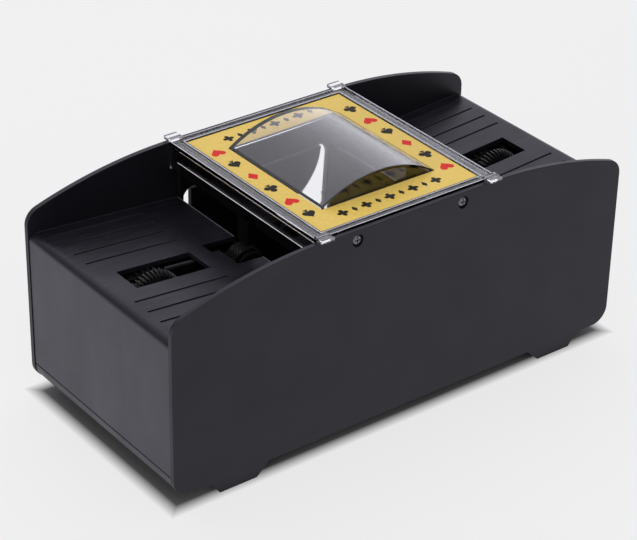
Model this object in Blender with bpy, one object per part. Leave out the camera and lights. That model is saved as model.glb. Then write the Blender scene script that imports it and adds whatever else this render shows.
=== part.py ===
"""Automatic card shuffler for one or two decks of playing cards.

Two sloping card trays feed a middle well between two side panels. Each tray has a motor, a ribbed
feed wheel under its aperture and a knurled exit roller at its inner end. The cards drop into a
drawer that pulls out towards the operator, and a clear lid with a printed insert covers the well.

Units are metres. +X runs along the length, +Y points to the operator and +Z is up. The origin is
on the floor under the middle of the object.
"""

import math

import bmesh
import bpy
from mathutils import Vector

MM = 0.001
GAP = 0.3 * MM  # left between pieces that rest on each other
FIT = 0.1 * MM  # radial clearance of an axle in its bore
SIDES = {"left": -1, "right": 1}

# Side panels
HALF_LENGTH = 102.5 * MM
PANEL_OUTER = 47.5 * MM
PANEL_THICK = 2 * MM
PANEL_INNER = PANEL_OUTER - PANEL_THICK
PANEL_BOTTOM = 5.2 * MM
PANEL_TOP = 87.2 * MM
CORNER_RADIUS = 7 * MM
TOP_FLAT_HALF = 38 * MM
TOP_ARC_RADIUS = 190 * MM
FOOT_TOP = (61.5 * MM, 86.5 * MM)  # where a foot leaves the panel's bottom edge
FOOT_SOLE = (67 * MM, 83 * MM)
SCREW_X = 24 * MM
SCREW_Z = 83 * MM
SCREW_HOLE_RADIUS = 1.3 * MM
SCREW_RECESS = (2.4 * MM, 1.3 * MM)  # radius and depth
SCREW_HEAD_RADIUS = 1.9 * MM
SCREW_HEAD_CROWN = 1.5 * MM  # radius of the head's flat top
SCREW_HEAD_Y = (0.3 * MM, 0.6 * MM, 1.1 * MM)  # crown, rim and seat, measured inwards
SCREW_SHANK = (1.1 * MM, 6 * MM)  # radius and where it ends, measured inwards
SCREW_SOCKET = (0.45 * MM, 0.8 * MM)  # radius and depth of the hole in the head
SCREW_CORE = 0.3 * MM  # radius of the bore on the screw's axis

# Inside of the housing
INSIDE_Y = PANEL_INNER - GAP
WALL = 1.5 * MM
SEAM_Z = 12.9 * MM
BASE_THICK = 2 * MM
BASE_TOP = PANEL_BOTTOM + BASE_THICK
RAIL_X = (24 * MM, 26 * MM)
RAIL_HALF_Y = 43.3 * MM
SINK = 1 * MM  # how far a joined solid reaches into the one it joins

# Card trays: the surface falls from the outer end towards the well
TRAY_END_Z = 68.3 * MM
TRAY_FALL = 0.073
TRAY_THICK = 2 * MM
TRAY_OUTER_X = HALF_LENGTH - GAP
TRAY_INNER_X = 37.6 * MM
TRAY_EDGE_RADIUS = 3 * MM
TRAY_CUT_DEPTH = 12 * MM
APERTURE_X = (59 * MM, 90.2 * MM)
APERTURE_Y = (-7.65 * MM, 5.75 * MM)
NOTCH_X = 48.8 * MM
NOTCH_Y = (-10 * MM, 2 * MM)
DEEP_NOTCH_X = 52 * MM
DEEP_NOTCH_Y = (2 * MM, 8.1 * MM)
GROOVE_X = (57 * MM, 96.3 * MM)
GROOVE_Y = (15.9 * MM, 23.9 * MM, 31.8 * MM, 39.6 * MM)
GROOVE_WIDE = 0.9 * MM
GROOVE_DEEP = 0.5 * MM

# Feed train, written for the right side; the left side is its mirror image
FEED = (80 * MM, 55.4 * MM)
FEED_RADIUS = 12.3 * MM
FEED_TYRE_Y = (-3.4 * MM, 0.1 * MM)
FEED_RIBS = 36
FEED_RIB_DEPTH = 0.8 * MM
FEED_SEAT = 9.7 * MM  # the hub's radius inside the tyre
FEED_BOSS = ((-7 * MM, 3.5 * MM), (2.2 * MM, 3.2 * MM))  # each end's y and radius
EXIT = (40.5 * MM, 58.4 * MM)
EXIT_RADIUS = 6.8 * MM
EXIT_TYRE_Y = (-4.2 * MM, 2 * MM)
EXIT_RIBS = 24
EXIT_RIB_DEPTH = 0.4 * MM
EXIT_SEAT = 4.6 * MM
EXIT_COLLAR = ((-6.6 * MM, -5.2 * MM), 5.6 * MM)  # its y span and radius
DRIVE = (74 * MM, 45 * MM)
MODULE = 0.8 * MM
FEED_TEETH = 20
DRIVE_SMALL_TEETH = 10
DRIVE_LARGE_TEETH = 36
PINION_TEETH = 9
MOTOR_DROP = 4 * MM  # the motor's axis lies this much below the drive gear's
BELT_PITCH = {"feed": 5.9 * MM, "exit": 2.95 * MM}
BELT_THICK = 1.2 * MM
BELT_Y = (-9.8 * MM, -8.4 * MM)
BELT_FIT = 0.15 * MM
PULLEY_FLANGE_Y = (-11.2 * MM, -10.4 * MM, -7.8 * MM)  # outer flange, then the inner one
PULLEY_GROOVE_Y = (-10 * MM, -8.2 * MM)
BORE_Y = (-10 * MM, 20 * MM)  # long enough to pass through any tyre or gear
FINE_GEAR_Y = (5 * MM, 8.5 * MM)
COARSE_GEAR_Y = (9.3 * MM, 12 * MM)
PLATE_Y = ((-13.5 * MM, -12 * MM), (2.7 * MM, 4.2 * MM), (14 * MM, 15.5 * MM))
FRAME_X = (37.9 * MM, 92 * MM)
FRAME_FLOOR = (27 * MM, 29 * MM)
FRAME_TOP_DROP = 3 * MM  # from the tray surface down to the plates' top edges
FRAME_FOOT_Z = {"left": BASE_TOP + GAP, "right": 24.9 * MM}
MOTOR_Y = (15.8 * MM, 40.8 * MM)
MOTOR_RADIUS = 10 * MM
MOTOR_FLAT = 7.7 * MM
MOTOR_NOSE = 6 * MM
MOTOR_SHAFT_IN = 5 * MM
MOTOR_MOUNT_RADIUS = 4 * MM
FEED_AXLE_RADIUS = 1.5 * MM
EXIT_AXLE_RADIUS = 1.2 * MM
SHAFT_RADIUS = 1 * MM
AXLE_END = 1 * MM  # how far an axle stands out past the plate or gear beside it
SHAFT_ENDS = (0.8 * MM, 0.2 * MM)
PINION_ENDS = (0.2 * MM, 0.4 * MM)  # how far the pinion is wider than the gear it drives

# Middle well, drawer and card gates
WELL_X = (35.8 * MM, 37.1 * MM)
WELL_TOP = 85.4 * MM
WELL_SIDE_TOP = 60 * MM
ROLLER_WINDOW_Y = (-12 * MM, 9 * MM)
ROLLER_WINDOW_Z = (50 * MM, 61 * MM)
OPENING_HALF = 35.2 * MM
OPENING_Z = (8.8 * MM, 66 * MM)
OPENING_RADII = (2 * MM, 6 * MM)  # at the bottom corners and at the top corners
DRAWER_HALF = 33.9 * MM
DRAWER_BACK_GAP = 0.7 * MM
DRAWER_FRONT_HALF = 31.4 * MM
DRAWER_WALL_TOP = 38 * MM
DRAWER_FRONT_TOP = 65 * MM
DRAWER_FLOOR = (9.2 * MM, 10.8 * MM)
NOTCH_LOBE = (31.4 * MM, 24 * MM)  # half-width and height of the drawer front's upper lobe
NOTCH_LOBE_Z = 65 * MM
NOTCH_WAIST_Z = 45 * MM  # the notch is symmetric about this height
NOTCH_TIP_X = 18.5 * MM
GATE_X = (35.8 * MM, 37.1 * MM)
GATE_Z = (73 * MM, 85 * MM)
PAD_X = (37.4 * MM, 40.4 * MM)
PAD_Y = (-4.2 * MM, 2 * MM)
PAD_Z = (65.9 * MM, 76 * MM)

# Lid
LID_HALF_X = 40.9 * MM
LID_HALF_Y = PANEL_INNER - GAP
LID_Z = (85.7 * MM, 87.6 * MM)
SKIRT_THICK = 1.2 * MM
SKIRT_BOTTOM = 81.1 * MM
LEG_BOTTOM = 77 * MM
LEG_INNER_Y = 41.3 * MM
EAR_INNER_X = 35.4 * MM
EAR_Y = (44 * MM, 48.8 * MM)
EAR_Z = (87.5 * MM, 88.8 * MM)
LABEL_HALF = (35.5 * MM, 41.3 * MM)
LABEL_Z = (87.1 * MM, 87.5 * MM)
LABEL_SEAT_DROP = 0.2 * MM
WINDOW_HALF = (25.5 * MM, 28.6 * MM)
WINDOW_RISE = 7.8 * MM
WINDOW_WALL = 1.4 * MM

# Battery bay under the right tray
CELL_RADIUS = 7.1 * MM
CELL_PITCH = 14.8 * MM
CELL_X = (43 * MM, 93.5 * MM)
CELL_Z = 15.4 * MM
HATCH_X = (41 * MM, 94.7 * MM)
HATCH_HALF_Y = 30.5 * MM
BOX_TOP = 24.6 * MM
BOX_WALL = 1.2 * MM
CELL_TIP = (2.7 * MM, 0.8 * MM)  # radius and length
CONTACT_EDGE = 1 * MM
CONTACT_INNER_END = 0.8 * MM
CONTACT_OUTER = (0.25 * MM, 0.05 * MM)  # measured back from the bay's outer wall

# Power button on the operator's side
BUTTON = (-84 * MM, 32 * MM)
BUTTON_RADIUS = 5.6 * MM
BUTTON_Y = (42.8 * MM, 48.7 * MM)
BUTTON_CHAMFER = (0.6 * MM, 0.8 * MM)  # along the axis and across it
FLANGE_THICK = 1.2 * MM
STEM_RADIUS = 1.6 * MM
FLANGE_RADIUS = 7 * MM
STEM_END_Y = 38 * MM
SPRING_Y = (36.5 * MM, 41 * MM)
SPRING_RADII = (3 * MM, 4 * MM)
SWITCH_Y = (29 * MM, 36.2 * MM)
SWITCH_HALF = 6.5 * MM
MERGE = 0.001 * MM  # vertices closer than this become one

SEGMENTS = 24


# ---------------------------------------------------------------- materials


def make_material(name, colour, roughness, metallic=0.0, alpha=1.0):
    material = bpy.data.materials.new(name)
    material.use_nodes = True
    shader = material.node_tree.nodes["Principled BSDF"]
    shader.inputs["Base Color"].default_value = (*colour, 1.0)
    shader.inputs["Roughness"].default_value = roughness
    shader.inputs["Metallic"].default_value = metallic
    shader.inputs["Alpha"].default_value = alpha
    return material


# ---------------------------------------------------------------- mesh tools


def place(axis, a, b, depth):
    """A point from its two outline coordinates and its place along the extrusion axis."""
    return Vector({"X": (depth, a, b), "Y": (a, depth, b), "Z": (a, b, depth)}[axis])


def add_object(name, bm, origin, material=None, smooth=False):
    bmesh.ops.recalc_face_normals(bm, faces=bm.faces)
    mesh = bpy.data.meshes.new(name)
    bm.to_mesh(mesh)
    bm.free()
    if smooth:
        mesh.shade_smooth()
        mesh.set_sharp_from_angle(angle=math.radians(35))
    if material:
        mesh.materials.append(material)
    piece = bpy.data.objects.new(name, mesh)
    piece.location = origin
    bpy.context.collection.objects.link(piece)
    return piece


def prism(name, outline, axis, span, material=None, origin=(0, 0, 0), smooth=False):
    """A closed outline pushed along one axis, from span[0] to span[1]."""
    origin = Vector(origin)
    bm = bmesh.new()
    ring = [bm.verts.new(place(axis, a, b, span[0]) - origin) for a, b in outline]
    pushed = bmesh.ops.extrude_face_region(bm, geom=[bm.faces.new(ring)])
    moved = [v for v in pushed["geom"] if isinstance(v, bmesh.types.BMVert)]
    bmesh.ops.translate(bm, vec=place(axis, 0, 0, span[1] - span[0]), verts=moved)
    return add_object(name, bm, origin, material, smooth)


def box(name, x, y, z, material=None, origin=(0, 0, 0)):
    outline = [(x[0], z[0]), (x[1], z[0]), (x[1], z[1]), (x[0], z[1])]
    return prism(name, outline, "Y", y, material, origin)


def turned(name, profile, centre, material, segments=SEGMENTS):
    """A piece turned about an axis along Y. The profile is a closed loop of (y, radius)."""
    origin = Vector((centre[0], 0, centre[1]))
    bm = bmesh.new()
    ring = [bm.verts.new((radius, y, 0)) for y, radius in profile]
    edges = [bm.edges.new((a, b)) for a, b in zip(ring, ring[1:] + ring[:1])]
    bmesh.ops.spin(
        bm,
        geom=ring + edges,
        cent=(0, 0, 0),
        axis=(0, 1, 0),
        angle=math.tau,
        steps=segments,
        use_merge=True,
        use_duplicate=False,
    )
    bmesh.ops.remove_doubles(bm, verts=bm.verts, dist=MERGE)
    return add_object(name, bm, origin, material, smooth=True)


def circle(centre, radius, count=SEGMENTS, start=0.0):
    angles = [start + math.tau * k / count for k in range(count)]
    return [(centre[0] + radius * math.cos(a), centre[1] + radius * math.sin(a)) for a in angles]


def arc(centre, radius, start_deg, end_deg, steps):
    """Points of an arc, both ends included."""
    points = []
    for k in range(steps + 1):
        angle = math.radians(start_deg + (end_deg - start_deg) * k / steps)
        points.append((centre[0] + radius * math.cos(angle), centre[1] + radius * math.sin(angle)))
    return points


def rounded(a, b, radii, steps=4):
    """A rectangle from a[0] to a[1] and b[0] to b[1]; radii are its low and high corners'."""
    low, high = radii
    corners = (
        (a[1] - low, b[0] + low, low, -90),
        (a[1] - high, b[1] - high, high, 0),
        (a[0] + high, b[1] - high, high, 90),
        (a[0] + low, b[0] + low, low, 180),
    )
    points = []
    for x, z, radius, start in corners:
        points += arc((x, z), radius, start, start + 90, steps)
    return points


def combine(piece, tool, operation):
    """Cuts the tool from the piece, or joins it on, and hides the tool."""
    tool.hide_render = True
    tool.display_type = "WIRE"
    modifier = piece.modifiers.new(tool.name, "BOOLEAN")
    modifier.operation = operation
    modifier.solver = "EXACT"
    modifier.object = tool
    return piece


def cut(piece, tool):
    return combine(piece, tool, "DIFFERENCE")


def join(piece, tool):
    return combine(piece, tool, "UNION")


def bore(piece, name, centre, radius, span, count=16):
    """A round hole along Y."""
    return cut(piece, prism(name, circle(centre, radius, count), "Y", span))


def mirrored(outline, side):
    return [(side * x, z) for x, z in outline]


def both(span, side):
    """A span of x on one side of the object, lowest value first."""
    return tuple(sorted(side * x for x in span))


def tray_z(x):
    """Height of the tray surface at a distance x from the middle."""
    return TRAY_END_Z - TRAY_FALL * (HALF_LENGTH - x)


# ---------------------------------------------------------------- gears and belts


def gear_outline(centre, teeth, tooth_angle):
    """Straight-flanked teeth, a little thin so that a pair runs with backlash."""
    pitch = MODULE * teeth / 2
    tip, root = pitch + 0.85 * MODULE, pitch - 1.2 * MODULE
    half_at_tip, half_at_root = 0.3 * MODULE, 0.8 * MODULE
    corners = ((root, -half_at_root), (tip, -half_at_tip), (tip, half_at_tip), (root, half_at_root))
    points = []
    for k in range(teeth):
        middle = tooth_angle + math.tau * k / teeth
        for radius, half in corners:
            angle = middle + half / radius
            points.append(
                (centre[0] + radius * math.cos(angle), centre[1] + radius * math.sin(angle))
            )
    return points


def ribbed_outline(centre, ribs, outer, inner, rib_share):
    """A circle with square ribs; rib_share is the part of the pitch that a rib takes."""
    points = []
    for k in range(ribs):
        start = math.tau * k / ribs
        rib = math.tau / ribs * rib_share
        for radius, angle in (
            (inner, start),
            (outer, start),
            (outer, start + rib),
            (inner, start + rib),
        ):
            points.append(
                (centre[0] + radius * math.cos(angle), centre[1] + radius * math.sin(angle))
            )
    return points


def angle_between(a, b):
    return math.atan2(b[1] - a[1], b[0] - a[0])


def facing_gap(angle, teeth):
    """Where a tooth goes so that the gap between two teeth faces back along the angle."""
    return angle + math.pi + math.pi / teeth


def belt_outline(radius_feed, radius_exit):
    """The loop round the feed pulley and the exit pulley, with straight runs between them."""
    along = angle_between(FEED, EXIT)
    distance = math.dist(FEED, EXIT)
    lean = math.degrees(math.asin((radius_feed - radius_exit) / distance))
    base = math.degrees(along)
    far = arc(EXIT, radius_exit, base - 90 + lean, base + 90 - lean, 8)
    near = arc(FEED, radius_feed, base + 90 - lean, base + 270 + lean, 12)
    return far + near


MOTOR_GEAR_DISTANCE = MODULE * (DRIVE_LARGE_TEETH + PINION_TEETH) / 2
MOTOR = (
    DRIVE[0] - math.sqrt(MOTOR_GEAR_DISTANCE**2 - MOTOR_DROP**2),
    DRIVE[1] - MOTOR_DROP,
)


# ---------------------------------------------------------------- housing


def panel_outline():
    """One side panel, anticlockwise from the middle of its bottom edge."""
    low = (HALF_LENGTH - CORNER_RADIUS, PANEL_BOTTOM + CORNER_RADIUS)
    half = [(FOOT_TOP[0], PANEL_BOTTOM), (FOOT_SOLE[0], 0), (FOOT_SOLE[1], 0)]
    half += [(FOOT_TOP[1], PANEL_BOTTOM)]
    half += arc(low, CORNER_RADIUS, -90, 0, 5)
    # The upper corner's arc touches both the end and the long top arc.
    top_centre = (TOP_FLAT_HALF, PANEL_TOP - TOP_ARC_RADIUS)
    reach = TOP_ARC_RADIUS - CORNER_RADIUS
    lean = math.degrees(math.acos((low[0] - top_centre[0]) / reach))
    high = (low[0], top_centre[1] + reach * math.sin(math.radians(lean)))
    half += arc(high, CORNER_RADIUS, 0, lean, 5)
    half += arc(top_centre, TOP_ARC_RADIUS, lean, 90, 8)[1:]
    return half + [(-x, z) for x, z in reversed(half)]


def screw_recesses(panel, name, outer, inner):
    """Two round recesses with a smaller hole through the rest of the panel."""
    recess_radius, recess_depth = SCREW_RECESS
    step = math.copysign(recess_depth, inner - outer)
    for word, side in SIDES.items():
        centre = (side * SCREW_X, SCREW_Z)
        span = sorted((outer - step, outer + step))
        bore(panel, f"{name}_recess_{word}", centre, recess_radius, span)
        span = sorted((outer - step, inner + step))
        bore(panel, f"{name}_hole_{word}", centre, SCREW_HOLE_RADIUS, span, 12)


def screw(name, x, outer, inward, material):
    """A round-headed screw along Y; inward is the way its shank points."""
    crown, rim, seat = (outer + inward * depth for depth in SCREW_HEAD_Y)
    shank_radius, shank_end = SCREW_SHANK
    socket_radius, socket_depth = SCREW_SOCKET
    tip = outer + inward * shank_end
    socket = outer + inward * socket_depth
    profile = [
        (crown, socket_radius),
        (crown, SCREW_HEAD_CROWN),
        (rim, SCREW_HEAD_RADIUS),
        (seat, SCREW_HEAD_RADIUS),
        (seat, shank_radius),
        (tip, shank_radius),
        (tip, SCREW_CORE),
        (socket, SCREW_CORE),
        (socket, socket_radius),
    ]
    turned(name, profile, (x, SCREW_Z), material, 16)


def make_panels(plastic, steel):
    outline = panel_outline()
    rear = prism("rear_panel", outline, "Y", (-PANEL_OUTER, -PANEL_INNER), plastic)
    screw_recesses(rear, "rear", -PANEL_OUTER, -PANEL_INNER)
    front = prism("front_panel", outline, "Y", (PANEL_INNER, PANEL_OUTER), plastic)
    screw_recesses(front, "front", PANEL_OUTER, PANEL_INNER)
    span = (PANEL_INNER - WALL, PANEL_OUTER + WALL)
    opening = rounded((-OPENING_HALF, OPENING_HALF), OPENING_Z, OPENING_RADII)
    cut(front, prism("front_opening", opening, "Y", span))
    bore(front, "button_hole", BUTTON, BUTTON_RADIUS + GAP, span, SEGMENTS)
    for word, side in SIDES.items():
        screw(f"rear_screw_{word}", side * SCREW_X, -PANEL_OUTER, 1, steel)
        screw(f"front_screw_{word}", side * SCREW_X, PANEL_OUTER, -1, steel)


def make_base(plastic):
    """The shallow pan that closes the bottom, with turned-up ends and two drawer rails."""
    end = HALF_LENGTH - GAP
    low = (end - CORNER_RADIUS, PANEL_BOTTOM + CORNER_RADIUS)
    outer = arc(low, CORNER_RADIUS, -90, 0, 6) + [(end, SEAM_Z)]
    inner = arc(low, CORNER_RADIUS - BASE_THICK, -90, 0, 6) + [(end - BASE_THICK, SEAM_Z)]
    right = outer + inner[::-1]
    left = [(-x, z) for x, z in reversed(right)]
    pan = prism("base_pan", right + left, "Y", (-INSIDE_Y, INSIDE_Y), plastic)
    for word, side in SIDES.items():
        rail_x = both(RAIL_X, side)
        rail_z = (BASE_TOP - SINK, DRAWER_FLOOR[0] - GAP)
        join(pan, box(f"rail_{word}", rail_x, (-RAIL_HALF_Y, RAIL_HALF_Y), rail_z))
    hatch_z = (PANEL_BOTTOM - WALL, BASE_TOP + WALL)
    cut(pan, box("hatch", HATCH_X, (-HATCH_HALF_Y, HATCH_HALF_Y), hatch_z))


def make_tray_shell(word, side, plastic):
    """The tray and the end wall below it, one bent shell with grooves, aperture and notch."""
    fall_deg = math.degrees(math.atan(TRAY_FALL))
    edge_x = TRAY_OUTER_X - TRAY_EDGE_RADIUS
    edge = (edge_x, tray_z(edge_x) - TRAY_EDGE_RADIUS / math.cos(math.radians(fall_deg)))
    outline = [(TRAY_OUTER_X, SEAM_Z + GAP)]
    outline += arc(edge, TRAY_EDGE_RADIUS, 0, 90 + fall_deg, 6)
    outline += [(TRAY_INNER_X, tray_z(TRAY_INNER_X))]
    outline += [(TRAY_INNER_X, tray_z(TRAY_INNER_X) - TRAY_THICK)]
    wall_x = TRAY_OUTER_X - TRAY_THICK
    outline += [(wall_x, tray_z(wall_x) - TRAY_THICK), (wall_x, SEAM_Z + GAP)]
    name = f"tray_shell_{word}"
    shell = prism(name, mirrored(outline, side), "Y", (-INSIDE_Y, INSIDE_Y), plastic)
    through = (TRAY_END_Z - TRAY_CUT_DEPTH, TRAY_END_Z + WALL)
    cut(shell, box(f"aperture_{word}", both(APERTURE_X, side), APERTURE_Y, through))
    inner = TRAY_INNER_X - WALL
    cut(shell, box(f"notch_{word}", both((inner, NOTCH_X), side), NOTCH_Y, through))
    overlap_y = (DEEP_NOTCH_Y[0] - SINK, DEEP_NOTCH_Y[1])
    cut(shell, box(f"deep_notch_{word}", both((inner, DEEP_NOTCH_X), side), overlap_y, through))
    for number, offset in enumerate(GROOVE_Y):
        for sign in (-1, 1):
            ends = [(x, tray_z(x) + WALL) for x in GROOVE_X]
            ends += [(x, tray_z(x) - GROOVE_DEEP) for x in reversed(GROOVE_X)]
            middle = sign * offset
            span = (middle - GROOVE_WIDE / 2, middle + GROOVE_WIDE / 2)
            tag = f"groove_{word}_{number}_{'near' if sign < 0 else 'far'}"
            cut(shell, prism(tag, mirrored(ends, side), "Y", span))


def make_well(plastic):
    """Walls round the drawer: low at the sides where cards enter, open at the operator's side."""
    outer, inner = WELL_X[1], WELL_X[0]
    well = box(
        "card_well", (-outer, outer), (-INSIDE_Y, INSIDE_Y), (BASE_TOP + GAP, WELL_TOP), plastic
    )
    wall_y = INSIDE_Y - WALL
    tall = (BASE_TOP - WALL, WELL_TOP + WALL)
    cut(well, box("well_cavity", (-inner, inner), (-wall_y, wall_y), tall))
    wide = (-outer - WALL, outer + WALL)
    cut(well, box("card_entry", wide, (-wall_y, wall_y), (WELL_SIDE_TOP, tall[1])))
    front_y = (wall_y - WALL, INSIDE_Y + WALL)
    cut(well, box("well_front", (-inner, inner), front_y, (tall[0], OPENING_Z[1] + SINK)))
    for word, side in SIDES.items():
        window_x = both((inner - WALL, outer + WALL), side)
        cut(well, box(f"roller_window_{word}", window_x, ROLLER_WINDOW_Y, ROLLER_WINDOW_Z))
        for place_word, sign in (("rear", -1), ("front", 1)):
            span = sorted((sign * (wall_y - WALL), sign * (INSIDE_Y + WALL)))
            hole = f"well_{place_word}_hole_{word}"
            bore(well, hole, (side * SCREW_X, SCREW_Z), SCREW_HOLE_RADIUS, span, 12)


def notch_outline(outer_x):
    """The grip notch: two convex lobes that meet at a narrow inner end."""
    half, height = NOTCH_LOBE
    start = NOTCH_TIP_X
    xs = [start + (half - start) * k / 10 for k in range(11)]
    upper = [(x, NOTCH_LOBE_Z - height * math.sqrt(1 - (x / half) ** 2)) for x in xs]
    lower = [(x, 2 * NOTCH_WAIST_Z - z) for x, z in upper]
    top_z, low_z = upper[-1][1], lower[-1][1]
    return lower + [(outer_x, low_z), (outer_x, top_z)] + upper[::-1]


def make_drawer(plastic):
    """A tray for the shuffled cards: low sides, and a tall front with a notch on its right."""
    back = -INSIDE_Y + WALL + DRAWER_BACK_GAP
    front = PANEL_INNER - GAP
    drawer = box(
        "card_drawer",
        (-DRAWER_HALF, DRAWER_HALF),
        (back, PANEL_OUTER - GAP),
        (DRAWER_FLOOR[0], DRAWER_FRONT_TOP),
        plastic,
    )
    inner = DRAWER_HALF - WALL
    tall = DRAWER_FRONT_TOP + WALL
    inside = box("drawer_inside", (-inner, inner), (back + WALL, front), (DRAWER_FLOOR[1], tall))
    cut(drawer, inside)
    wide = (-DRAWER_HALF - WALL, DRAWER_HALF + WALL)
    cut(drawer, box("drawer_sides_top", wide, (back - WALL, front), (DRAWER_WALL_TOP, tall)))
    front_y = (front - WALL, PANEL_OUTER + WALL)
    for word, side in SIDES.items():
        corner_x = both((DRAWER_FRONT_HALF, wide[1]), side)
        cut(drawer, box(f"drawer_corner_{word}", corner_x, front_y, (DRAWER_WALL_TOP, tall)))
    cut(drawer, prism("grip_notch", notch_outline(wide[1]), "Y", front_y))


def make_gates(word, side, plastic, rubber):
    """A cross wall between the well's posts, with a rubber pad that holds back extra cards."""
    half_y = INSIDE_Y - WALL - GAP
    box(f"card_gate_{word}", both(GATE_X, side), (-half_y, half_y), GATE_Z, plastic)
    box(f"retard_pad_{word}", both(PAD_X, side), PAD_Y, PAD_Z, rubber)


# ---------------------------------------------------------------- lid


def window_outline(half, rise):
    """The window's cross-section: an arch on a straight base that reaches into the lid plate."""
    radius = (half**2 + rise**2) / (2 * rise)
    centre = (0, LID_Z[1] + rise - radius)
    open_deg = math.degrees(math.asin(half / radius))
    return arc(centre, radius, 90 - open_deg, 90 + open_deg, 14)


def make_lid(clear, card):
    lid = box(
        "lid", (-LID_HALF_X, LID_HALF_X), (-LID_HALF_Y, LID_HALF_Y), LID_Z, clear, (0, 0, LID_Z[0])
    )
    base_z = LID_Z[0] + LABEL_SEAT_DROP
    half_x, half_y = WINDOW_HALF
    arch = window_outline(half_x, WINDOW_RISE) + [(-half_x, base_z), (half_x, base_z)]
    join(lid, prism("window_outer", arch, "Y", (-half_y, half_y)))
    skirt = [(-LID_HALF_Y, LEG_BOTTOM), (-LEG_INNER_Y, LEG_BOTTOM), (-LEG_INNER_Y, SKIRT_BOTTOM)]
    skirt = skirt + [(-y, z) for y, z in reversed(skirt)]
    skirt += [(LID_HALF_Y, LID_Z[0] + SINK), (-LID_HALF_Y, LID_Z[0] + SINK)]
    for word, side in SIDES.items():
        skirt_x = both((LID_HALF_X - SKIRT_THICK, LID_HALF_X), side)
        join(lid, prism(f"lid_skirt_{word}", skirt, "X", skirt_x))
        for end, sign in (("rear", -1), ("front", 1)):
            ear_x = both((EAR_INNER_X, LID_HALF_X), side)
            ear = box(f"lid_ear_{end}_{word}", ear_x, both(EAR_Y, sign), EAR_Z)
            join(lid, ear)
    inner_x, inner_y = half_x - WINDOW_WALL, half_y - WINDOW_WALL
    hollow = window_outline(inner_x, WINDOW_RISE - WINDOW_WALL)
    hollow += [(-inner_x, LID_Z[0] - WALL), (inner_x, LID_Z[0] - WALL)]
    cut(lid, prism("window_inner", hollow, "Y", (-inner_y, inner_y)))
    label_x, label_y = LABEL_HALF
    recess = [(-label_x - GAP, -label_y - GAP), (label_x + GAP, label_y + GAP)]
    seat_x, seat_y = (recess[0][0], recess[1][0]), (recess[0][1], recess[1][1])
    seat_z = (LABEL_Z[0] - LABEL_SEAT_DROP, LID_Z[1] + WALL)
    seat = box("label_seat", seat_x, seat_y, seat_z)
    keep = box("window_foot", (-half_x, half_x), (-half_y, half_y), (LID_Z[0], LID_Z[1] + WALL))
    cut(seat, keep)
    cut(lid, seat)
    label = box("label_insert", (-label_x, label_x), (-label_y, label_y), LABEL_Z, card)
    around_x, around_y = half_x + GAP, half_y + GAP
    hole_z = (LABEL_Z[0] - WALL, LABEL_Z[1] + WALL)
    hole = box("label_hole", (-around_x, around_x), (-around_y, around_y), hole_z)
    cut(label, hole)


# ---------------------------------------------------------------- feed train


def pulley_profile(end, hole, last_y):
    """The belt pulley's half of a hub's profile, from its outer face to last_y."""
    a0, a1, b0 = PULLEY_FLANGE_Y
    groove_low, groove_high = PULLEY_GROOVE_Y
    groove = BELT_PITCH[end] - BELT_THICK / 2 - BELT_FIT
    flange = groove + BELT_THICK
    return [
        (a0, hole),
        (a0, flange),
        (a1, flange),
        (groove_low, groove),
        (groove_high, groove),
        (b0, flange),
        (last_y, flange),
    ]


def make_feed_wheel(word, side, rubber, nylon, steel):
    centre = (side * FEED[0], FEED[1])
    origin = (centre[0], 0, centre[1])
    seat = FEED_SEAT
    tread = ribbed_outline(FEED, FEED_RIBS, FEED_RADIUS, FEED_RADIUS - FEED_RIB_DEPTH, 0.5)
    tyre = prism(
        f"feed_tyre_{word}", mirrored(tread, side), "Y", FEED_TYRE_Y, rubber, origin, True
    )
    bore(tyre, f"feed_tyre_bore_{word}", centre, seat + FIT, BORE_Y, SEGMENTS)
    hole = FEED_AXLE_RADIUS + FIT
    (boss_y, boss_radius), (end_y, end_radius) = FEED_BOSS
    profile = pulley_profile("feed", hole, boss_y)
    profile += [(boss_y, boss_radius), (FEED_TYRE_Y[0], boss_radius)]
    profile += [(FEED_TYRE_Y[0], seat), (FEED_TYRE_Y[1], seat), (FEED_TYRE_Y[1], end_radius)]
    profile += [(end_y, end_radius), (end_y, hole)]
    turned(f"feed_hub_{word}", profile, centre, nylon)
    ends = (PLATE_Y[0][0] - AXLE_END, FINE_GEAR_Y[1] + AXLE_END / 2)
    rod = circle(centre, FEED_AXLE_RADIUS, 16)
    prism(f"feed_axle_{word}", rod, "Y", ends, steel, origin, True)
    teeth = gear_outline(FEED, FEED_TEETH, angle_between(FEED, DRIVE))
    gear = prism(f"feed_gear_{word}", mirrored(teeth, side), "Y", FINE_GEAR_Y, nylon, origin)
    bore(gear, f"feed_gear_bore_{word}", centre, hole, BORE_Y)


def make_exit_roller(word, side, rubber, nylon, steel):
    centre = (side * EXIT[0], EXIT[1])
    origin = (centre[0], 0, centre[1])
    seat = EXIT_SEAT
    tread = ribbed_outline(EXIT, EXIT_RIBS, EXIT_RADIUS, EXIT_RADIUS - EXIT_RIB_DEPTH, 0.5)
    tyre = prism(
        f"exit_tyre_{word}", mirrored(tread, side), "Y", EXIT_TYRE_Y, rubber, origin, True
    )
    bore(tyre, f"exit_tyre_bore_{word}", centre, seat + FIT, BORE_Y, SEGMENTS)
    hole = EXIT_AXLE_RADIUS + FIT
    (collar_low, collar_high), collar_radius = EXIT_COLLAR
    profile = pulley_profile("exit", hole, collar_low)
    profile += [(collar_low, collar_radius), (collar_high, collar_radius), (collar_high, seat)]
    profile += [(EXIT_TYRE_Y[1], seat), (EXIT_TYRE_Y[1], hole)]
    turned(f"exit_hub_{word}", profile, centre, nylon)
    ends = (PLATE_Y[0][0] - AXLE_END, PLATE_Y[1][1] + AXLE_END)
    rod = circle(centre, EXIT_AXLE_RADIUS, 16)
    prism(f"exit_axle_{word}", rod, "Y", ends, steel, origin, True)


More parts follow.
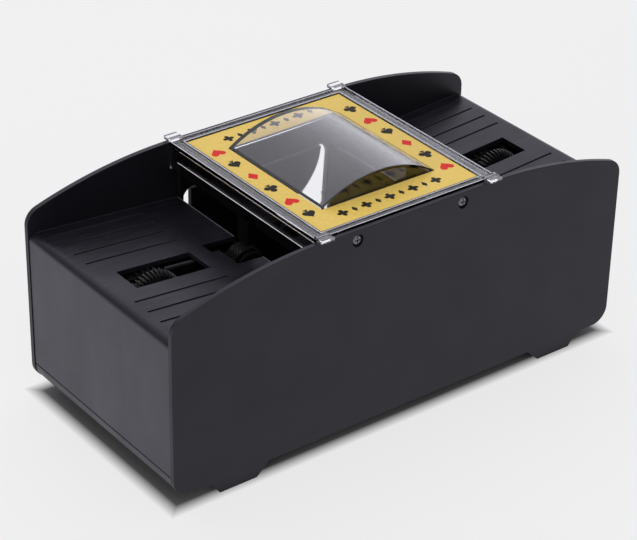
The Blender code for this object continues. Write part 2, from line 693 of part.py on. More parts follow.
def make_belt(word, side, rubber):
    inner = [BELT_PITCH[end] - BELT_THICK / 2 for end in ("feed", "exit")]
    outer = [BELT_PITCH[end] + BELT_THICK / 2 for end in ("feed", "exit")]
    belt = prism(f"drive_belt_{word}", mirrored(belt_outline(*outer), side), "Y", BELT_Y, rubber)
    wide = (BELT_Y[0] - WALL, BELT_Y[1] + WALL)
    cut(belt, prism(f"belt_inside_{word}", mirrored(belt_outline(*inner), side), "Y", wide))


def make_drive_gear(word, side, nylon, steel):
    centre = (side * DRIVE[0], DRIVE[1])
    origin = (centre[0], 0, centre[1])
    wheel = gear_outline(DRIVE, DRIVE_LARGE_TEETH, angle_between(DRIVE, MOTOR))
    small_angle = facing_gap(angle_between(FEED, DRIVE), DRIVE_SMALL_TEETH)
    small = gear_outline(DRIVE, DRIVE_SMALL_TEETH, small_angle)
    name = f"drive_gear_{word}"
    gear = prism(name, mirrored(wheel, side), "Y", COARSE_GEAR_Y, nylon, origin)
    small_y = (FINE_GEAR_Y[0], COARSE_GEAR_Y[0] + SINK / 2)
    join(gear, prism(f"drive_small_{word}", mirrored(small, side), "Y", small_y))
    bore(gear, f"drive_bore_{word}", centre, SHAFT_RADIUS + FIT, BORE_Y)
    ends = (PLATE_Y[1][0] - SHAFT_ENDS[0], PLATE_Y[2][1] + SHAFT_ENDS[1])
    rod = circle(centre, SHAFT_RADIUS, 12)
    prism(f"drive_shaft_{word}", rod, "Y", ends, steel, origin, True)


def make_motor(word, side, steel, nylon):
    centre = (side * MOTOR[0], MOTOR[1])
    origin = (centre[0], 0, centre[1])
    turn = math.degrees(math.asin(MOTOR_FLAT / MOTOR_RADIUS))
    can = arc(centre, MOTOR_RADIUS, -turn, turn, 8) + arc(
        centre, MOTOR_RADIUS, 180 - turn, 180 + turn, 8
    )
    motor = prism(f"motor_{word}", can, "Y", MOTOR_Y, steel, smooth=True)
    nose = (MOTOR_Y[0] - WALL, MOTOR_Y[0] + MOTOR_NOSE)
    bore(motor, f"motor_nose_{word}", centre, SHAFT_RADIUS + GAP, nose)
    pinion_y = (COARSE_GEAR_Y[0] - PINION_ENDS[0], COARSE_GEAR_Y[1] + PINION_ENDS[1])
    ends = (pinion_y[0] - AXLE_END / 2, MOTOR_Y[0] + MOTOR_SHAFT_IN)
    rod = circle(centre, SHAFT_RADIUS, 12)
    prism(f"motor_shaft_{word}", rod, "Y", ends, steel, origin, True)
    teeth_angle = facing_gap(angle_between(DRIVE, MOTOR), PINION_TEETH)
    teeth = gear_outline(MOTOR, PINION_TEETH, teeth_angle)
    pinion = prism(f"motor_pinion_{word}", mirrored(teeth, side), "Y", pinion_y, nylon, origin)
    bore(pinion, f"pinion_bore_{word}", centre, SHAFT_RADIUS + FIT, BORE_Y)


def make_gearbox_frame(word, side, plastic):
    """Three upright plates on one floor, which carry the axles and the motor."""
    foot = FRAME_FOOT_Z[word]
    high = TRAY_END_Z
    floor_low, floor_high = FRAME_FLOOR
    (a0, a1), (b0, b1), (c0, c1) = PLATE_Y
    profile = [(a0, foot), (a1, foot), (a1, floor_low), (c0, floor_low), (c0, foot), (c1, foot)]
    profile += [(c1, high), (c0, high), (c0, floor_high), (b1, floor_high), (b1, high)]
    profile += [(b0, high), (b0, floor_high), (a1, floor_high), (a1, high), (a0, high)]
    frame = prism(f"gearbox_frame_{word}", profile, "X", both(FRAME_X, side), plastic)
    ends = (FRAME_X[0] - WALL, FRAME_X[1] + WALL)
    above = [(x, tray_z(x) - FRAME_TOP_DROP) for x in ends]
    above += [(x, high + WALL) for x in reversed(ends)]
    wide = (a0 - WALL, c1 + WALL)
    cut(frame, prism(f"frame_top_{word}", mirrored(above, side), "Y", wide))
    axles = (
        ("feed", FEED, FEED_AXLE_RADIUS + FIT, (wide[0], b1 + WALL)),
        ("exit", EXIT, EXIT_AXLE_RADIUS + FIT, (wide[0], b1 + WALL)),
        ("drive", DRIVE, SHAFT_RADIUS + FIT, (b0 - WALL, wide[1])),
        ("motor", MOTOR, MOTOR_MOUNT_RADIUS, (c0 - WALL, wide[1])),
    )
    for part, (x, z), radius, span in axles:
        bore(frame, f"frame_{part}_hole_{word}", (side * x, z), radius, span)


# ---------------------------------------------------------------- power


def make_batteries(plastic, steel, wrap):
    low = BASE_TOP + GAP
    bay = box(
        "battery_box",
        (HATCH_X[0] - BOX_WALL, HATCH_X[1] + BOX_WALL),
        (-HATCH_HALF_Y - BOX_WALL, HATCH_HALF_Y + BOX_WALL),
        (low, BOX_TOP),
        plastic,
    )
    half = HATCH_HALF_Y
    cut(bay, box("battery_space", HATCH_X, (-half, half), (low - WALL, BOX_TOP - BOX_WALL)))
    tip_radius, tip_length = CELL_TIP
    for number in range(4):
        y = (number - 1.5) * CELL_PITCH
        name = f"aa_cell_{number + 1}"
        body = prism(name, circle((y, CELL_Z), CELL_RADIUS, 20), "X", CELL_X, wrap, smooth=True)
        end = CELL_X[1] if number % 2 else CELL_X[0]
        span = (end - tip_length, end + tip_length)
        join(body, prism(f"cell_tip_{number}", circle((y, CELL_Z), tip_radius, 12), "X", span))
    plate_z = (low + CONTACT_EDGE, BOX_TOP - BOX_WALL - GAP)
    plate_y = (-half + CONTACT_EDGE, half - CONTACT_EDGE)
    inner_x = (HATCH_X[0] + GAP, HATCH_X[0] + CONTACT_INNER_END)
    outer_x = tuple(HATCH_X[1] - back for back in CONTACT_OUTER)
    box("battery_contact_inner", inner_x, plate_y, plate_z, steel)
    box("battery_contact_outer", outer_x, plate_y, plate_z, steel)
    door_x = (HATCH_X[0] + GAP, HATCH_X[1] - GAP)
    box("battery_door", door_x, (-half + GAP, half - GAP), (PANEL_BOTTOM, BASE_TOP), plastic)


def make_button(plastic, dark, steel):
    origin = (BUTTON[0], 0, BUTTON[1])
    y0, y1 = BUTTON_Y
    flange_y = y0 + FLANGE_THICK
    chamfer_long, chamfer_across = BUTTON_CHAMFER
    profile = [
        (STEM_END_Y, STEM_RADIUS),
        (y0, STEM_RADIUS),
        (y0, FLANGE_RADIUS),
        (flange_y, FLANGE_RADIUS),
        (flange_y, BUTTON_RADIUS),
        (y1 - chamfer_long, BUTTON_RADIUS),
        (y1, BUTTON_RADIUS - chamfer_across),
    ]
    bm = bmesh.new()
    ring = [bm.verts.new((0, STEM_END_Y, 0))]
    ring += [bm.verts.new((radius, y, 0)) for y, radius in profile]
    ring.append(bm.verts.new((0, y1, 0)))
    edges = [bm.edges.new(pair) for pair in zip(ring, ring[1:])]
    bmesh.ops.spin(
        bm, geom=ring + edges, cent=(0, 0, 0), axis=(0, 1, 0), angle=math.tau, steps=SEGMENTS
    )
    bmesh.ops.remove_doubles(bm, verts=bm.verts, dist=MERGE)
    add_object("power_button", bm, Vector(origin), plastic, smooth=True)
    (low, high), (inner, outer) = SPRING_Y, SPRING_RADII
    coil = [(low, inner), (low, outer), (high, outer), (high, inner)]
    turned("button_spring", coil, BUTTON, steel, 16)
    x, z = BUTTON
    switch_x, switch_z = ((c - SWITCH_HALF, c + SWITCH_HALF) for c in (x, z))
    box("power_switch", switch_x, SWITCH_Y, switch_z, dark)


# ---------------------------------------------------------------- assembly


def main():
    for old in list(bpy.data.objects):
        bpy.data.objects.remove(old, do_unlink=True)
    black = make_material("black_plastic", (0.02, 0.02, 0.022), 0.5)
    dark = make_material("dark_plastic", (0.012, 0.012, 0.013), 0.55)
    clear = make_material("clear_plastic", (0.85, 0.86, 0.9), 0.08, alpha=0.35)
    card = make_material("label_card", (0.9, 0.62, 0.08), 0.35)
    rubber = make_material("black_rubber", (0.015, 0.015, 0.015), 0.8)
    nylon = make_material("white_nylon", (0.75, 0.74, 0.7), 0.45)
    steel = make_material("steel", (0.6, 0.6, 0.62), 0.3, metallic=1.0)
    wrap = make_material("cell_wrap", (0.35, 0.05, 0.04), 0.35)
    make_panels(black, steel)
    make_base(black)
    make_well(dark)
    make_drawer(black)
    make_lid(clear, card)
    make_batteries(black, steel, wrap)
    make_button(black, dark, steel)
    for word, side in SIDES.items():
        make_tray_shell(word, side, black)
        make_gates(word, side, dark, rubber)
        make_feed_wheel(word, side, rubber, nylon, steel)
        make_exit_roller(word, side, rubber, dark, steel)
        make_belt(word, side, rubber)
        make_drive_gear(word, side, nylon, steel)
        make_motor(word, side, steel, nylon)
        make_gearbox_frame(word, side, dark)


main()
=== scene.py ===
"""The detailed look of the automatic card shuffler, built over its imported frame.

Units are metres. +X runs along the length, +Y points to the operator and +Z is up.
"""

import math

import bmesh
import bpy
from mathutils import Matrix, Vector


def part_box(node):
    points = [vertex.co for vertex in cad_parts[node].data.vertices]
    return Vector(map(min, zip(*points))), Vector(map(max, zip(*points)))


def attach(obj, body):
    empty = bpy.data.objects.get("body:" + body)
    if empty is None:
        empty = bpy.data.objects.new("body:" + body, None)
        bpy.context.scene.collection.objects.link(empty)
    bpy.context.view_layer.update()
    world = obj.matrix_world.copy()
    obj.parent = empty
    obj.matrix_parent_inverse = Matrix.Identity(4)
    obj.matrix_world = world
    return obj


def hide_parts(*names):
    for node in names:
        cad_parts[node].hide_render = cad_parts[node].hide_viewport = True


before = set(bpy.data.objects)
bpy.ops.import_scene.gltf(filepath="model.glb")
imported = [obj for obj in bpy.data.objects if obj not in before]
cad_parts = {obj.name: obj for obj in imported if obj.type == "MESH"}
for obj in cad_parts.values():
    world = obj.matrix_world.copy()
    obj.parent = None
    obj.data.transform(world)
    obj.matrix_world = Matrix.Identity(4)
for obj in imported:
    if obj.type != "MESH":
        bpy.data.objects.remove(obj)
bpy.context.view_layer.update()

MM = 0.001
PAST = 1 * MM  # how far a cutting tool reaches past the face that it cuts
SIDES = {"left": -1, "right": 1}
HOUSING = "housing"

# Housing
HALF_LENGTH = 102.5 * MM
PANEL_OUTER = 47.5 * MM
PANEL_INNER = 45.5 * MM
PANEL_BOTTOM = 5.2 * MM
PANEL_TOP = 87.2 * MM
CORNER_RADIUS = 7 * MM
TOP_FLAT_HALF = 38 * MM
TOP_ARC_RADIUS = 190 * MM
FOOT_TOP = (61.5 * MM, 86.5 * MM)
FOOT_SOLE = (67 * MM, 83 * MM)
SCREW_X = 24 * MM
SCREW_Z = 83 * MM
SCREW_HOLE_RADIUS = 1.3 * MM
RECESS_RADIUS = 2.4 * MM
RECESS_DEEP = 1.3 * MM
CROSS = (1.25 * MM, 0.22 * MM)  # half the length and half the width of the screw's cross
CROSS_DEEP = 1 * MM
INSIDE_Y = 45.2 * MM
SEAM_Z = 12.9 * MM
SEAM_GAP = 0.3 * MM
BASE_THICK = 2 * MM
BASE_TOP = PANEL_BOTTOM + BASE_THICK
EDGE_BEVEL = 0.45 * MM
RAIL_X = (24 * MM, 26 * MM)
RAIL_HALF_Y = 43.3 * MM
RAIL_TOP = 8.9 * MM
HATCH_GAP = 0.3 * MM
VENT_COUNT = 9
VENT_START_X = -88 * MM
VENT_PITCH = 6 * MM
VENT_HALF = (0.9 * MM, 16 * MM)
VENT_RADIUS = 0.85 * MM
VENT_DEEP = 0.8 * MM
DOOR_SLOTS = 6
DOOR_SLOT_START = 5 * MM
DOOR_SLOT_PITCH = 2.2 * MM
DOOR_SLOT_HALF = (0.5 * MM, 9 * MM)
DOOR_SLOT_RADIUS = 0.45 * MM
DOOR_SLOT_DEEP = 0.6 * MM
DOOR_GRIP_RADIUS = 7 * MM
DOOR_GRIP_DEEP = 0.9 * MM

# Trays
TRAY_END_Z = 68.3 * MM
TRAY_FALL = 0.073
TRAY_THICK = 2 * MM
TRAY_OUTER_X = 102.2 * MM
TRAY_INNER_X = 37.6 * MM
TRAY_EDGE_RADIUS = 3 * MM
TRAY_CUT_Z = (TRAY_END_Z - 12 * MM, TRAY_END_Z + 2 * MM)
APERTURE_X = (59 * MM, 90.2 * MM)
APERTURE_Y = (-7.65 * MM, 5.75 * MM)
NOTCH_X = 48.8 * MM
NOTCH_Y = (-10 * MM, 2.1 * MM)
DEEP_NOTCH_X = 52 * MM
DEEP_NOTCH_Y = (1.9 * MM, 8.1 * MM)
GROOVE_X = (57 * MM, 96.3 * MM)
GROOVE_Y = (15.9 * MM, 23.9 * MM, 31.8 * MM, 39.6 * MM)
GROOVE_HALF = 0.45 * MM
GROOVE_DEEP = 0.5 * MM
# Painted highlight lines along the tray's inner lip and along its sides
HIGHLIGHT_DEEP = 0.3 * MM
HIGHLIGHT_PROUD = 0.03 * MM
LIP_HIGHLIGHT_WIDE = 0.4 * MM
SIDE_HIGHLIGHT_WIDE = 0.3 * MM
KEEPER_X = (58.5 * MM, 71.5 * MM)
KEEPER_Y = (2.75 * MM, 4.15 * MM)
KEEPER_DROP = 2.2 * MM
KEEPER_TALL = 2.2 * MM
KEEPER_RADIUS = 0.9 * MM

# Wheels, written for the right side
FEED = (80 * MM, 55.4 * MM)
FEED_RADIUS = 12.3 * MM
FEED_TYRE_Y = (-3.4 * MM, 0.1 * MM)
FEED_SEAT = 9.8 * MM
FEED_RIBS = 46
RIB_TALL = 1.2 * MM
FEED_SHOULDER = (0.9 * MM, 0.8 * MM)  # its width along the axis and its fall
SPOOL_HOLES = 6
SPOOL_HOLE_RADIUS = 1.5 * MM
SPOOL_HOLE_CIRCLE = 6.4 * MM
SPOOL_HOLE_Y = (-5 * MM, 2 * MM)
EXIT = (40.5 * MM, 58.4 * MM)
EXIT_RADIUS = 6.8 * MM
EXIT_TYRE_Y = (-4.2 * MM, 2 * MM)
EXIT_SEAT = 4.7 * MM
EXIT_CELLS = 26
KNURL_TALL = 0.5 * MM
KNURL_PITCH = 1.55 * MM
EXIT_SHOULDER = (0.4 * MM, 0.4 * MM)

# Front panel and drawer
OPENING_HALF = 35.2 * MM
OPENING_Z = (8.8 * MM, 66 * MM)
OPENING_RADII = (2 * MM, 6 * MM)
NOTCH_LOBE = (31.4 * MM, 24 * MM)
NOTCH_LOBE_Z = 65 * MM
NOTCH_WAIST_Z = 45 * MM
NOTCH_TIP_X = 18.5 * MM
DRAWER_HALF = 33.9 * MM
DRAWER_FRONT_HALF = 31.4 * MM
DRAWER_WALL = 1.5 * MM
DRAWER_FLOOR = 1.6 * MM
DRAWER_WALL_TOP = 38 * MM
DRAWER_FRONT_Y = PANEL_INNER - 0.3 * MM
DRAWER_RIBS = 9
DRAWER_RIB_PITCH = 7 * MM
DRAWER_RIB_HALF = (0.5 * MM, 0.3 * MM)  # at its foot and at its top
DRAWER_RIB_TALL = 0.3 * MM
DRAWER_RIB_INSET = 6 * MM
BUTTON = (-84 * MM, 32 * MM)
BUTTON_RADIUS = 5.6 * MM
BUTTON_GAP = 0.3 * MM
BUTTON_FRONT = 48.7 * MM

# Lid
LID_HALF_X = 40.9 * MM
LID_HALF_Y = 45.2 * MM
LID_Z = (85.7 * MM, 87.6 * MM)
SKIRT_THICK = 1.2 * MM
SKIRT_BOTTOM = 81.1 * MM
# the height of the pale strip along each skirt's lower edge, a painted highlight
HIGHLIGHT_STRIP_TALL = 0.35 * MM
LEG_BOTTOM = 77 * MM
LEG_INNER_Y = 41.3 * MM
LEG_RADIUS = 1.2 * MM
SKIRT_FILLET = 1.5 * MM
LEG_INSET = 0.3 * MM
SKIRT_OVERLAP = 1 * MM
RIM_WIDE = 0.8 * MM
RIM_FOOT = 0.4 * MM
FILM_WIDE = 0.3 * MM
FILM_THICK = 0.04 * MM
FILM_GAP = 0.01 * MM
SKIN_GAP = 0.02 * MM  # between two thin pieces that lie against each other
EAR_INNER_X = 35.4 * MM
EAR_Y = (44 * MM, 48.8 * MM)
EAR_Z = (87.5 * MM, 88.8 * MM)
LABEL_HALF = (35.5 * MM, 41.3 * MM)
LABEL_Z = (87.1 * MM, 87.5 * MM)
LABEL_GAP = 0.3 * MM
PRINT_THICK = 0.08 * MM
SEAT_GAP = 0.2 * MM
SEAT_CUT_RISE = 3 * MM
WINDOW_HALF = (25.5 * MM, 28.6 * MM)
WINDOW_RISE = 7.8 * MM
WINDOW_WALL = 1.4 * MM
WINDOW_FOOT = LID_Z[0] + 0.2 * MM
RIMS = {  # each rim's outer half-size, and how far it rises over the lid
    "outer": ((LID_HALF_X, LID_HALF_Y), 0.35 * MM),
    "inner": ((LABEL_HALF[0] + 1.1 * MM, LABEL_HALF[1] + 1.1 * MM), 0.25 * MM),
}

# Printed label
PIP_X = 31.1 * MM
PIP_Y = tuple(y * MM for y in (28, 16.7, 5.4, -6, -17.3, -28.5))
PIP_SIZE = 2.9 * MM
PIPS = {
    "left": ("heart", "spade", "diamond", "club", "heart", "spade"),
    "right": ("club", "heart", "spade", "diamond", "club", "heart"),
}
BAND_Y = 34.9 * MM
BAND_PITCH = 5.3 * MM
BAND_COUNT = 9
BAND_SIZE = 2.3 * MM
INK_SUNK = 0.02 * MM
INK_PROUD = 0.03 * MM
INK_LAYER = 0.004 * MM

# Studio
FLOOR_HALF = 6.0
FLOOR_THICK = 0.01
FLOOR_GLOW = 0.725
# how soft the edge of the painted shadow under the machine is
SHADOW_SOFTNESS = 3 * MM
SKY_COLOUR = (0.935, 0.925, 1.0, 1.0)
LIGHT_TARGET = (0, 0, 0.05)
CAMERA_PLACE = (-452.0 * MM, -579.5 * MM, 472.9 * MM)
CAMERA_HEADING = 37.673  # degrees from +Y towards +X
CAMERA_DROP = 30.494  # degrees below level
CAMERA_ROLL = 1.168  # degrees
CAMERA_LENS = 127.6  # millimetres, as is the sensor's width
CAMERA_SENSOR = 36

SPECULAR_LAVENDER = (0.87, 0.84, 1.0, 1.0)


# ---------------- material tools


def new_material(name):
    material = bpy.data.materials.new(name)
    material.use_nodes = True
    tree = material.node_tree
    return material, tree, tree.nodes["Principled BSDF"]


def connect(tree, socket, value):
    if isinstance(value, bpy.types.NodeSocket):
        tree.links.new(value, socket)
    else:
        socket.default_value = value


def add_node(tree, kind, settings=None, inputs=None):
    node = tree.nodes.new(kind)
    for key, value in (settings or {}).items():
        setattr(node, key, value)
    for key, value in (inputs or {}).items():
        connect(tree, node.inputs[key], value)
    return node


def place_in_object(tree, stretch=(1, 1, 1)):
    """The point on the object in metres, stretched for streaks along an axis."""
    coordinates = add_node(tree, "ShaderNodeTexCoord")
    inputs = {"Vector": coordinates.outputs["Object"], "Scale": stretch}
    return add_node(tree, "ShaderNodeMapping", inputs=inputs).outputs["Vector"]


def split(tree, vector):
    return add_node(tree, "ShaderNodeSeparateXYZ", inputs={"Vector": vector}).outputs


def noise(tree, size, detail=2.0, stretch=(1, 1, 1)):
    """Noise whose blotches are about the given size across."""
    inputs = {"Vector": place_in_object(tree, stretch), "Scale": 1 / size, "Detail": detail}
    return add_node(tree, "ShaderNodeTexNoise", inputs=inputs).outputs["Fac"]


def mapped(tree, value, low, high, start=0.3, end=0.7):
    """A value between start and end spread over low to high."""
    inputs = {"Value": value, "From Min": start, "From Max": end, "To Min": low, "To Max": high}
    return add_node(tree, "ShaderNodeMapRange", inputs=inputs).outputs["Result"]


def mixed(tree, factor, first, second):
    node = add_node(tree, "ShaderNodeMix", {"data_type": "RGBA"})
    connect(tree, node.inputs[0], factor)
    connect(tree, node.inputs[6], first)
    connect(tree, node.inputs[7], second)
    return node.outputs[2]


def worked_out(tree, operation, first, second=0.0):
    node = add_node(tree, "ShaderNodeMath", {"operation": operation})
    connect(tree, node.inputs[0], first)
    connect(tree, node.inputs[1], second)
    return node.outputs[0]


def edge_mask(tree, radius, gain):
    """Near 1 on edges and corners that are rubbed in use, and 0 on flat faces."""
    rounded_normal = add_node(tree, "ShaderNodeBevel", {"samples": 4}, {"Radius": radius})
    geometry = add_node(tree, "ShaderNodeNewGeometry")
    dot = add_node(tree, "ShaderNodeVectorMath", {"operation": "DOT_PRODUCT"})
    tree.links.new(rounded_normal.outputs["Normal"], dot.inputs[0])
    tree.links.new(geometry.outputs["Normal"], dot.inputs[1])
    away = worked_out(tree, "SUBTRACT", 1.0, dot.outputs["Value"])
    return mapped(tree, away, 0.0, gain, 0.02, 0.3)


def facing(tree, axis):
    """1 on faces that look along an axis, either way, and 0 on the rest."""
    normal = add_node(tree, "ShaderNodeNewGeometry").outputs["Normal"]
    along = worked_out(tree, "ABSOLUTE", split(tree, normal)[axis])
    return mapped(tree, along, 0, 1, 0.88, 0.99)


def end_mask(tree):
    """1 on the outside of the two end walls, where light is painted, and 0 on the rest."""
    reach = worked_out(tree, "ABSOLUTE", split(tree, place_in_object(tree))["X"])
    at_end = mapped(tree, reach, 0, 1, HALF_LENGTH - 5 * MM, HALF_LENGTH - 3 * MM)
    return worked_out(tree, "MULTIPLY", facing(tree, "X"), at_end)


def smeared_painted_light(tree, colour):
    """Painted light: a paler colour with faint upright smears, standing in for the light on the
    end walls.
    """
    smear = mapped(tree, noise(tree, 9 * MM, 4.0, (1, 1, 0.25)), 0, 1)
    return mixed(tree, smear, scaled_colour(colour, 0.85), scaled_colour(colour, 1.15))


def scaled_colour(colour, factor):
    return (*[channel * factor for channel in colour], 1.0)


def vary_colour(tree, shader, factor, colour, low, high):
    """Spreads the base colour between two shades of a colour."""
    shades = mixed(tree, factor, scaled_colour(colour, low), scaled_colour(colour, high))
    tree.links.new(shades, shader.inputs["Base Color"])


def vary_roughness(tree, shader, pattern, low, high, start=0.3, end=0.7):
    spread = mapped(tree, pattern, low, high, start, end)
    tree.links.new(spread, shader.inputs["Roughness"])


def add_bump(tree, shader, height, depth):
    inputs = {"Height": height, "Distance": depth}
    bump = add_node(tree, "ShaderNodeBump", inputs=inputs)
    tree.links.new(bump.outputs["Normal"], shader.inputs["Normal"])


def moulded_plastic(name, colour, roughness, wear=0.35, streak=0.0, specular=0.5, painted_end_light=None):
    """Textured moulded plastic: a fine grain, faint blotches and paler rubbed edges.

    Streak is the strength of the rub marks along X on faces that look up or down, and the last
    argument is a paler colour painted on the two end walls, standing in for the light on them.
    """
    material, tree, shader = new_material(name)
    blotch = mapped(tree, noise(tree, 14 * MM, 4.0), 0, 1)
    base = mixed(tree, blotch, scaled_colour(colour, 0.86), scaled_colour(colour, 1.14))
    speck = mapped(tree, noise(tree, 0.9 * MM, 3.0), 0.0, 0.35, 0.55, 0.75)
    base = mixed(tree, speck, base, scaled_colour(colour, 1.5))
    if streak:
        rubbed = mapped(tree, noise(tree, 1.2 * MM, 3.0, (0.05, 1, 1)), 0.0, streak, 0.45, 0.7)
        rubbed = worked_out(tree, "MULTIPLY", rubbed, facing(tree, "Z"))
        base = mixed(tree, rubbed, base, scaled_colour(colour, 3.0))
    # Painted light: the two end walls are made paler to stand in for the light on them.
    if painted_end_light:
        base = mixed(tree, end_mask(tree), base, smeared_painted_light(tree, painted_end_light))
    worn = edge_mask(tree, 0.5 * MM, wear)
    base = mixed(tree, worn, base, scaled_colour([channel + 0.02 for channel in colour], 3.0))
    shader.inputs["Specular IOR Level"].default_value = specular
    shader.inputs["Specular Tint"].default_value = SPECULAR_LAVENDER
    tree.links.new(base, shader.inputs["Base Color"])
    vary_roughness(tree, shader, noise(tree, 22 * MM, 3.0), roughness - 0.05, roughness + 0.06)
    add_bump(tree, shader, noise(tree, 0.5 * MM, 2.0), 0.012 * MM)
    return material


def clear_plastic(name, tint, roughness):
    """Clear moulded plastic with a faint flow pattern."""
    material, tree, shader = new_material(name)
    shader.inputs["Transmission Weight"].default_value = 1.0
    shader.inputs["IOR"].default_value = 1.49
    vary_colour(tree, shader, mapped(tree, noise(tree, 9 * MM, 3.0), 0, 1), tint, 0.97, 1.0)
    vary_roughness(tree, shader, noise(tree, 5 * MM, 3.0), roughness, roughness + 0.03)
    add_bump(tree, shader, noise(tree, 16 * MM, 1.0), 0.006 * MM)
    return material


def printed_card(name, colour, roughness=0.28, specular=0.15):
    """Printed card under gloss varnish, with faint fibres in its colour and surface."""
    material, tree, shader = new_material(name)
    fibre = mapped(tree, noise(tree, 0.7 * MM, 4.0, (1, 0.4, 1)), 0, 1)
    vary_colour(tree, shader, fibre, colour, 0.95, 1.04)
    vary_roughness(tree, shader, noise(tree, 6 * MM, 3.0), roughness - 0.04, roughness + 0.08)
    shader.inputs["Specular IOR Level"].default_value = specular
    add_bump(tree, shader, noise(tree, 1.2 * MM, 3.0), 0.004 * MM)
    return material


def moulded_rubber(name, colour, specular=0.15):
    """Dull rubber with paler, dusty high spots."""
    material, tree, shader = new_material(name)
    dust = mapped(tree, noise(tree, 1.5 * MM, 4.0), 0.0, 0.5, 0.45, 0.75)
    base = mixed(tree, dust, scaled_colour(colour, 1.0), scaled_colour(colour, 2.0))
    worn = edge_mask(tree, 0.3 * MM, 0.5)
    base = mixed(tree, worn, base, scaled_colour(colour, 3.5))
    tree.links.new(base, shader.inputs["Base Color"])
    shader.inputs["Specular IOR Level"].default_value = specular
    vary_roughness(tree, shader, dust, 0.4, 0.6, 0, 0.5)
    add_bump(tree, shader, noise(tree, 0.4 * MM, 3.0), 0.02 * MM)
    return material


def drawn_metal(name, colour, roughness):
    """Bright metal with fine drawing lines along Y."""
    material, tree, shader = new_material(name)
    shader.inputs["Metallic"].default_value = 1.0
    line = noise(tree, 0.25 * MM, 3.0, (1, 0.04, 1))
    vary_colour(tree, shader, mapped(tree, line, 0, 1), colour, 0.82, 1.05)
    vary_roughness(tree, shader, line, roughness - 0.06, roughness + 0.1)
    add_bump(tree, shader, line, 0.004 * MM)
    return material


def past_edge(tree, distance, edge):
    """0 inside an edge on either side of the middle and 1 outside it, with a soft change."""
    reach = worked_out(tree, "ABSOLUTE", distance)
    return mapped(tree, reach, 0, 1, edge - SHADOW_SOFTNESS, edge + SHADOW_SOFTNESS)


def pale_floor():
    """A translucent table top that glows all round the machine; the glow is left off beneath it
    and fades in at its outline, a painted shadow under the machine.
    """
    material, tree, shader = new_material("studio_floor")
    cloud = mapped(tree, noise(tree, 400 * MM, 2.0), 0, 1)
    tree.links.new(
        mixed(tree, cloud, (0.175, 0.175, 0.176, 1), (0.185, 0.185, 0.186, 1)),
        shader.inputs["Base Color"],
    )
    shader.inputs["Roughness"].default_value = 0.9
    shader.inputs["Specular IOR Level"].default_value = 0.1
    place = split(tree, place_in_object(tree))
    past_end = past_edge(tree, place["X"], HALF_LENGTH)
    past_side = past_edge(tree, place["Y"], PANEL_OUTER)
    # Painted shadow: the floor does not glow under the machine's footprint.
    outside_painted_shadow = worked_out(tree, "MAXIMUM", past_end, past_side)
    glow_and_painted_shadow = mixed(tree, outside_painted_shadow, (0.0, 0.0, 0.0, 1), (1.0, 1.0, 1.0, 1))
    tree.links.new(glow_and_painted_shadow, shader.inputs["Emission Color"])
    shader.inputs["Emission Strength"].default_value = FLOOR_GLOW
    return material


# ---------------- mesh tools


def at(axis, a, b, depth):
    """A point from its two outline coordinates and its place along the extrusion axis."""
    return Vector({"X": (depth, a, b), "Y": (a, depth, b), "Z": (a, b, depth)}[axis])


def object_from(name, bm):
    bmesh.ops.recalc_face_normals(bm, faces=bm.faces)
    mesh = bpy.data.meshes.new(name)
    bm.to_mesh(mesh)
    bm.free()
    piece = bpy.data.objects.new(name, mesh)
    bpy.context.collection.objects.link(piece)
    return piece


def add_prism(bm, outline, axis, span):
    """Adds a closed outline, pushed along an axis from span[0] to span[1], to a mesh."""
    ring = [bm.verts.new(at(axis, a, b, span[0])) for a, b in outline]
    pushed = bmesh.ops.extrude_face_region(bm, geom=[bm.faces.new(ring)])
    moved = [v for v in pushed["geom"] if isinstance(v, bmesh.types.BMVert)]
    bmesh.ops.translate(bm, vec=at(axis, 0, 0, span[1] - span[0]), verts=moved)


def prism(name, outline, axis, span):
    bm = bmesh.new()
    add_prism(bm, outline, axis, span)
    return object_from(name, bm)


def box(name, x, y, z):
    return prism(name, [(x[0], z[0]), (x[1], z[0]), (x[1], z[1]), (x[0], z[1])], "Y", y)


def turned_rows(bm, rows_at, centre, segments):
    """The points of a turned shape. rows_at gives the (y, radius) rows at an angle."""
    loops = []
    for k in range(segments):
        angle = math.tau * k / segments
        turn = Vector((math.cos(angle), 0, math.sin(angle)))
        shift = Vector((centre[0], 0, centre[1]))
        rows = rows_at(angle)
        loops.append([bm.verts.new(shift + turn * r + Vector((0, y, 0))) for y, r in rows])
    return loops


def from_mm(rows):
    """Rows of (y, radius) in millimetres, in metres."""
    return [(y * MM, radius * MM) for y, radius in rows]


def turned(name, profile, centre, segments=48):
    """A ring turned about an axis along Y. The profile is a closed loop of (y, radius)."""
    bm = bmesh.new()
    join_loops(bm, turned_rows(bm, lambda angle: profile, centre, segments))
    return object_from(name, bm)


def turned_solid(name, profile, centre, segments=48):
    """A solid turned about an axis along Y, whose profile begins and ends on that axis."""
    bm = bmesh.new()
    ends = [bm.verts.new((centre[0], profile[k][0], centre[1])) for k in (0, -1)]
    loops = turned_rows(bm, lambda angle: profile[1:-1], centre, segments)
    for here, there in zip(loops, loops[1:] + loops[:1]):
        bm.faces.new((ends[0], here[0], there[0]))
        for k in range(len(here) - 1):
            bm.faces.new((here[k], here[k + 1], there[k + 1], there[k]))
        bm.faces.new((ends[1], there[-1], here[-1]))
    return object_from(name, bm)


def join_loops(bm, loops):
    """Faces between each closed loop of points and the next, and from the last to the first."""
    for here, there in zip(loops, loops[1:] + loops[:1]):
        for k in range(len(here)):
            after = (k + 1) % len(here)
            bm.faces.new((here[k], here[after], there[after], there[k]))


def circle(centre, radius, count=48):
    angles = [math.tau * k / count for k in range(count)]
    return [(centre[0] + radius * math.cos(a), centre[1] + radius * math.sin(a)) for a in angles]


def arc(centre, radius, start_deg, end_deg, steps):
    points = []
    for k in range(steps + 1):
        angle = math.radians(start_deg + (end_deg - start_deg) * k / steps)
        points.append((centre[0] + radius * math.cos(angle), centre[1] + radius * math.sin(angle)))
    return points


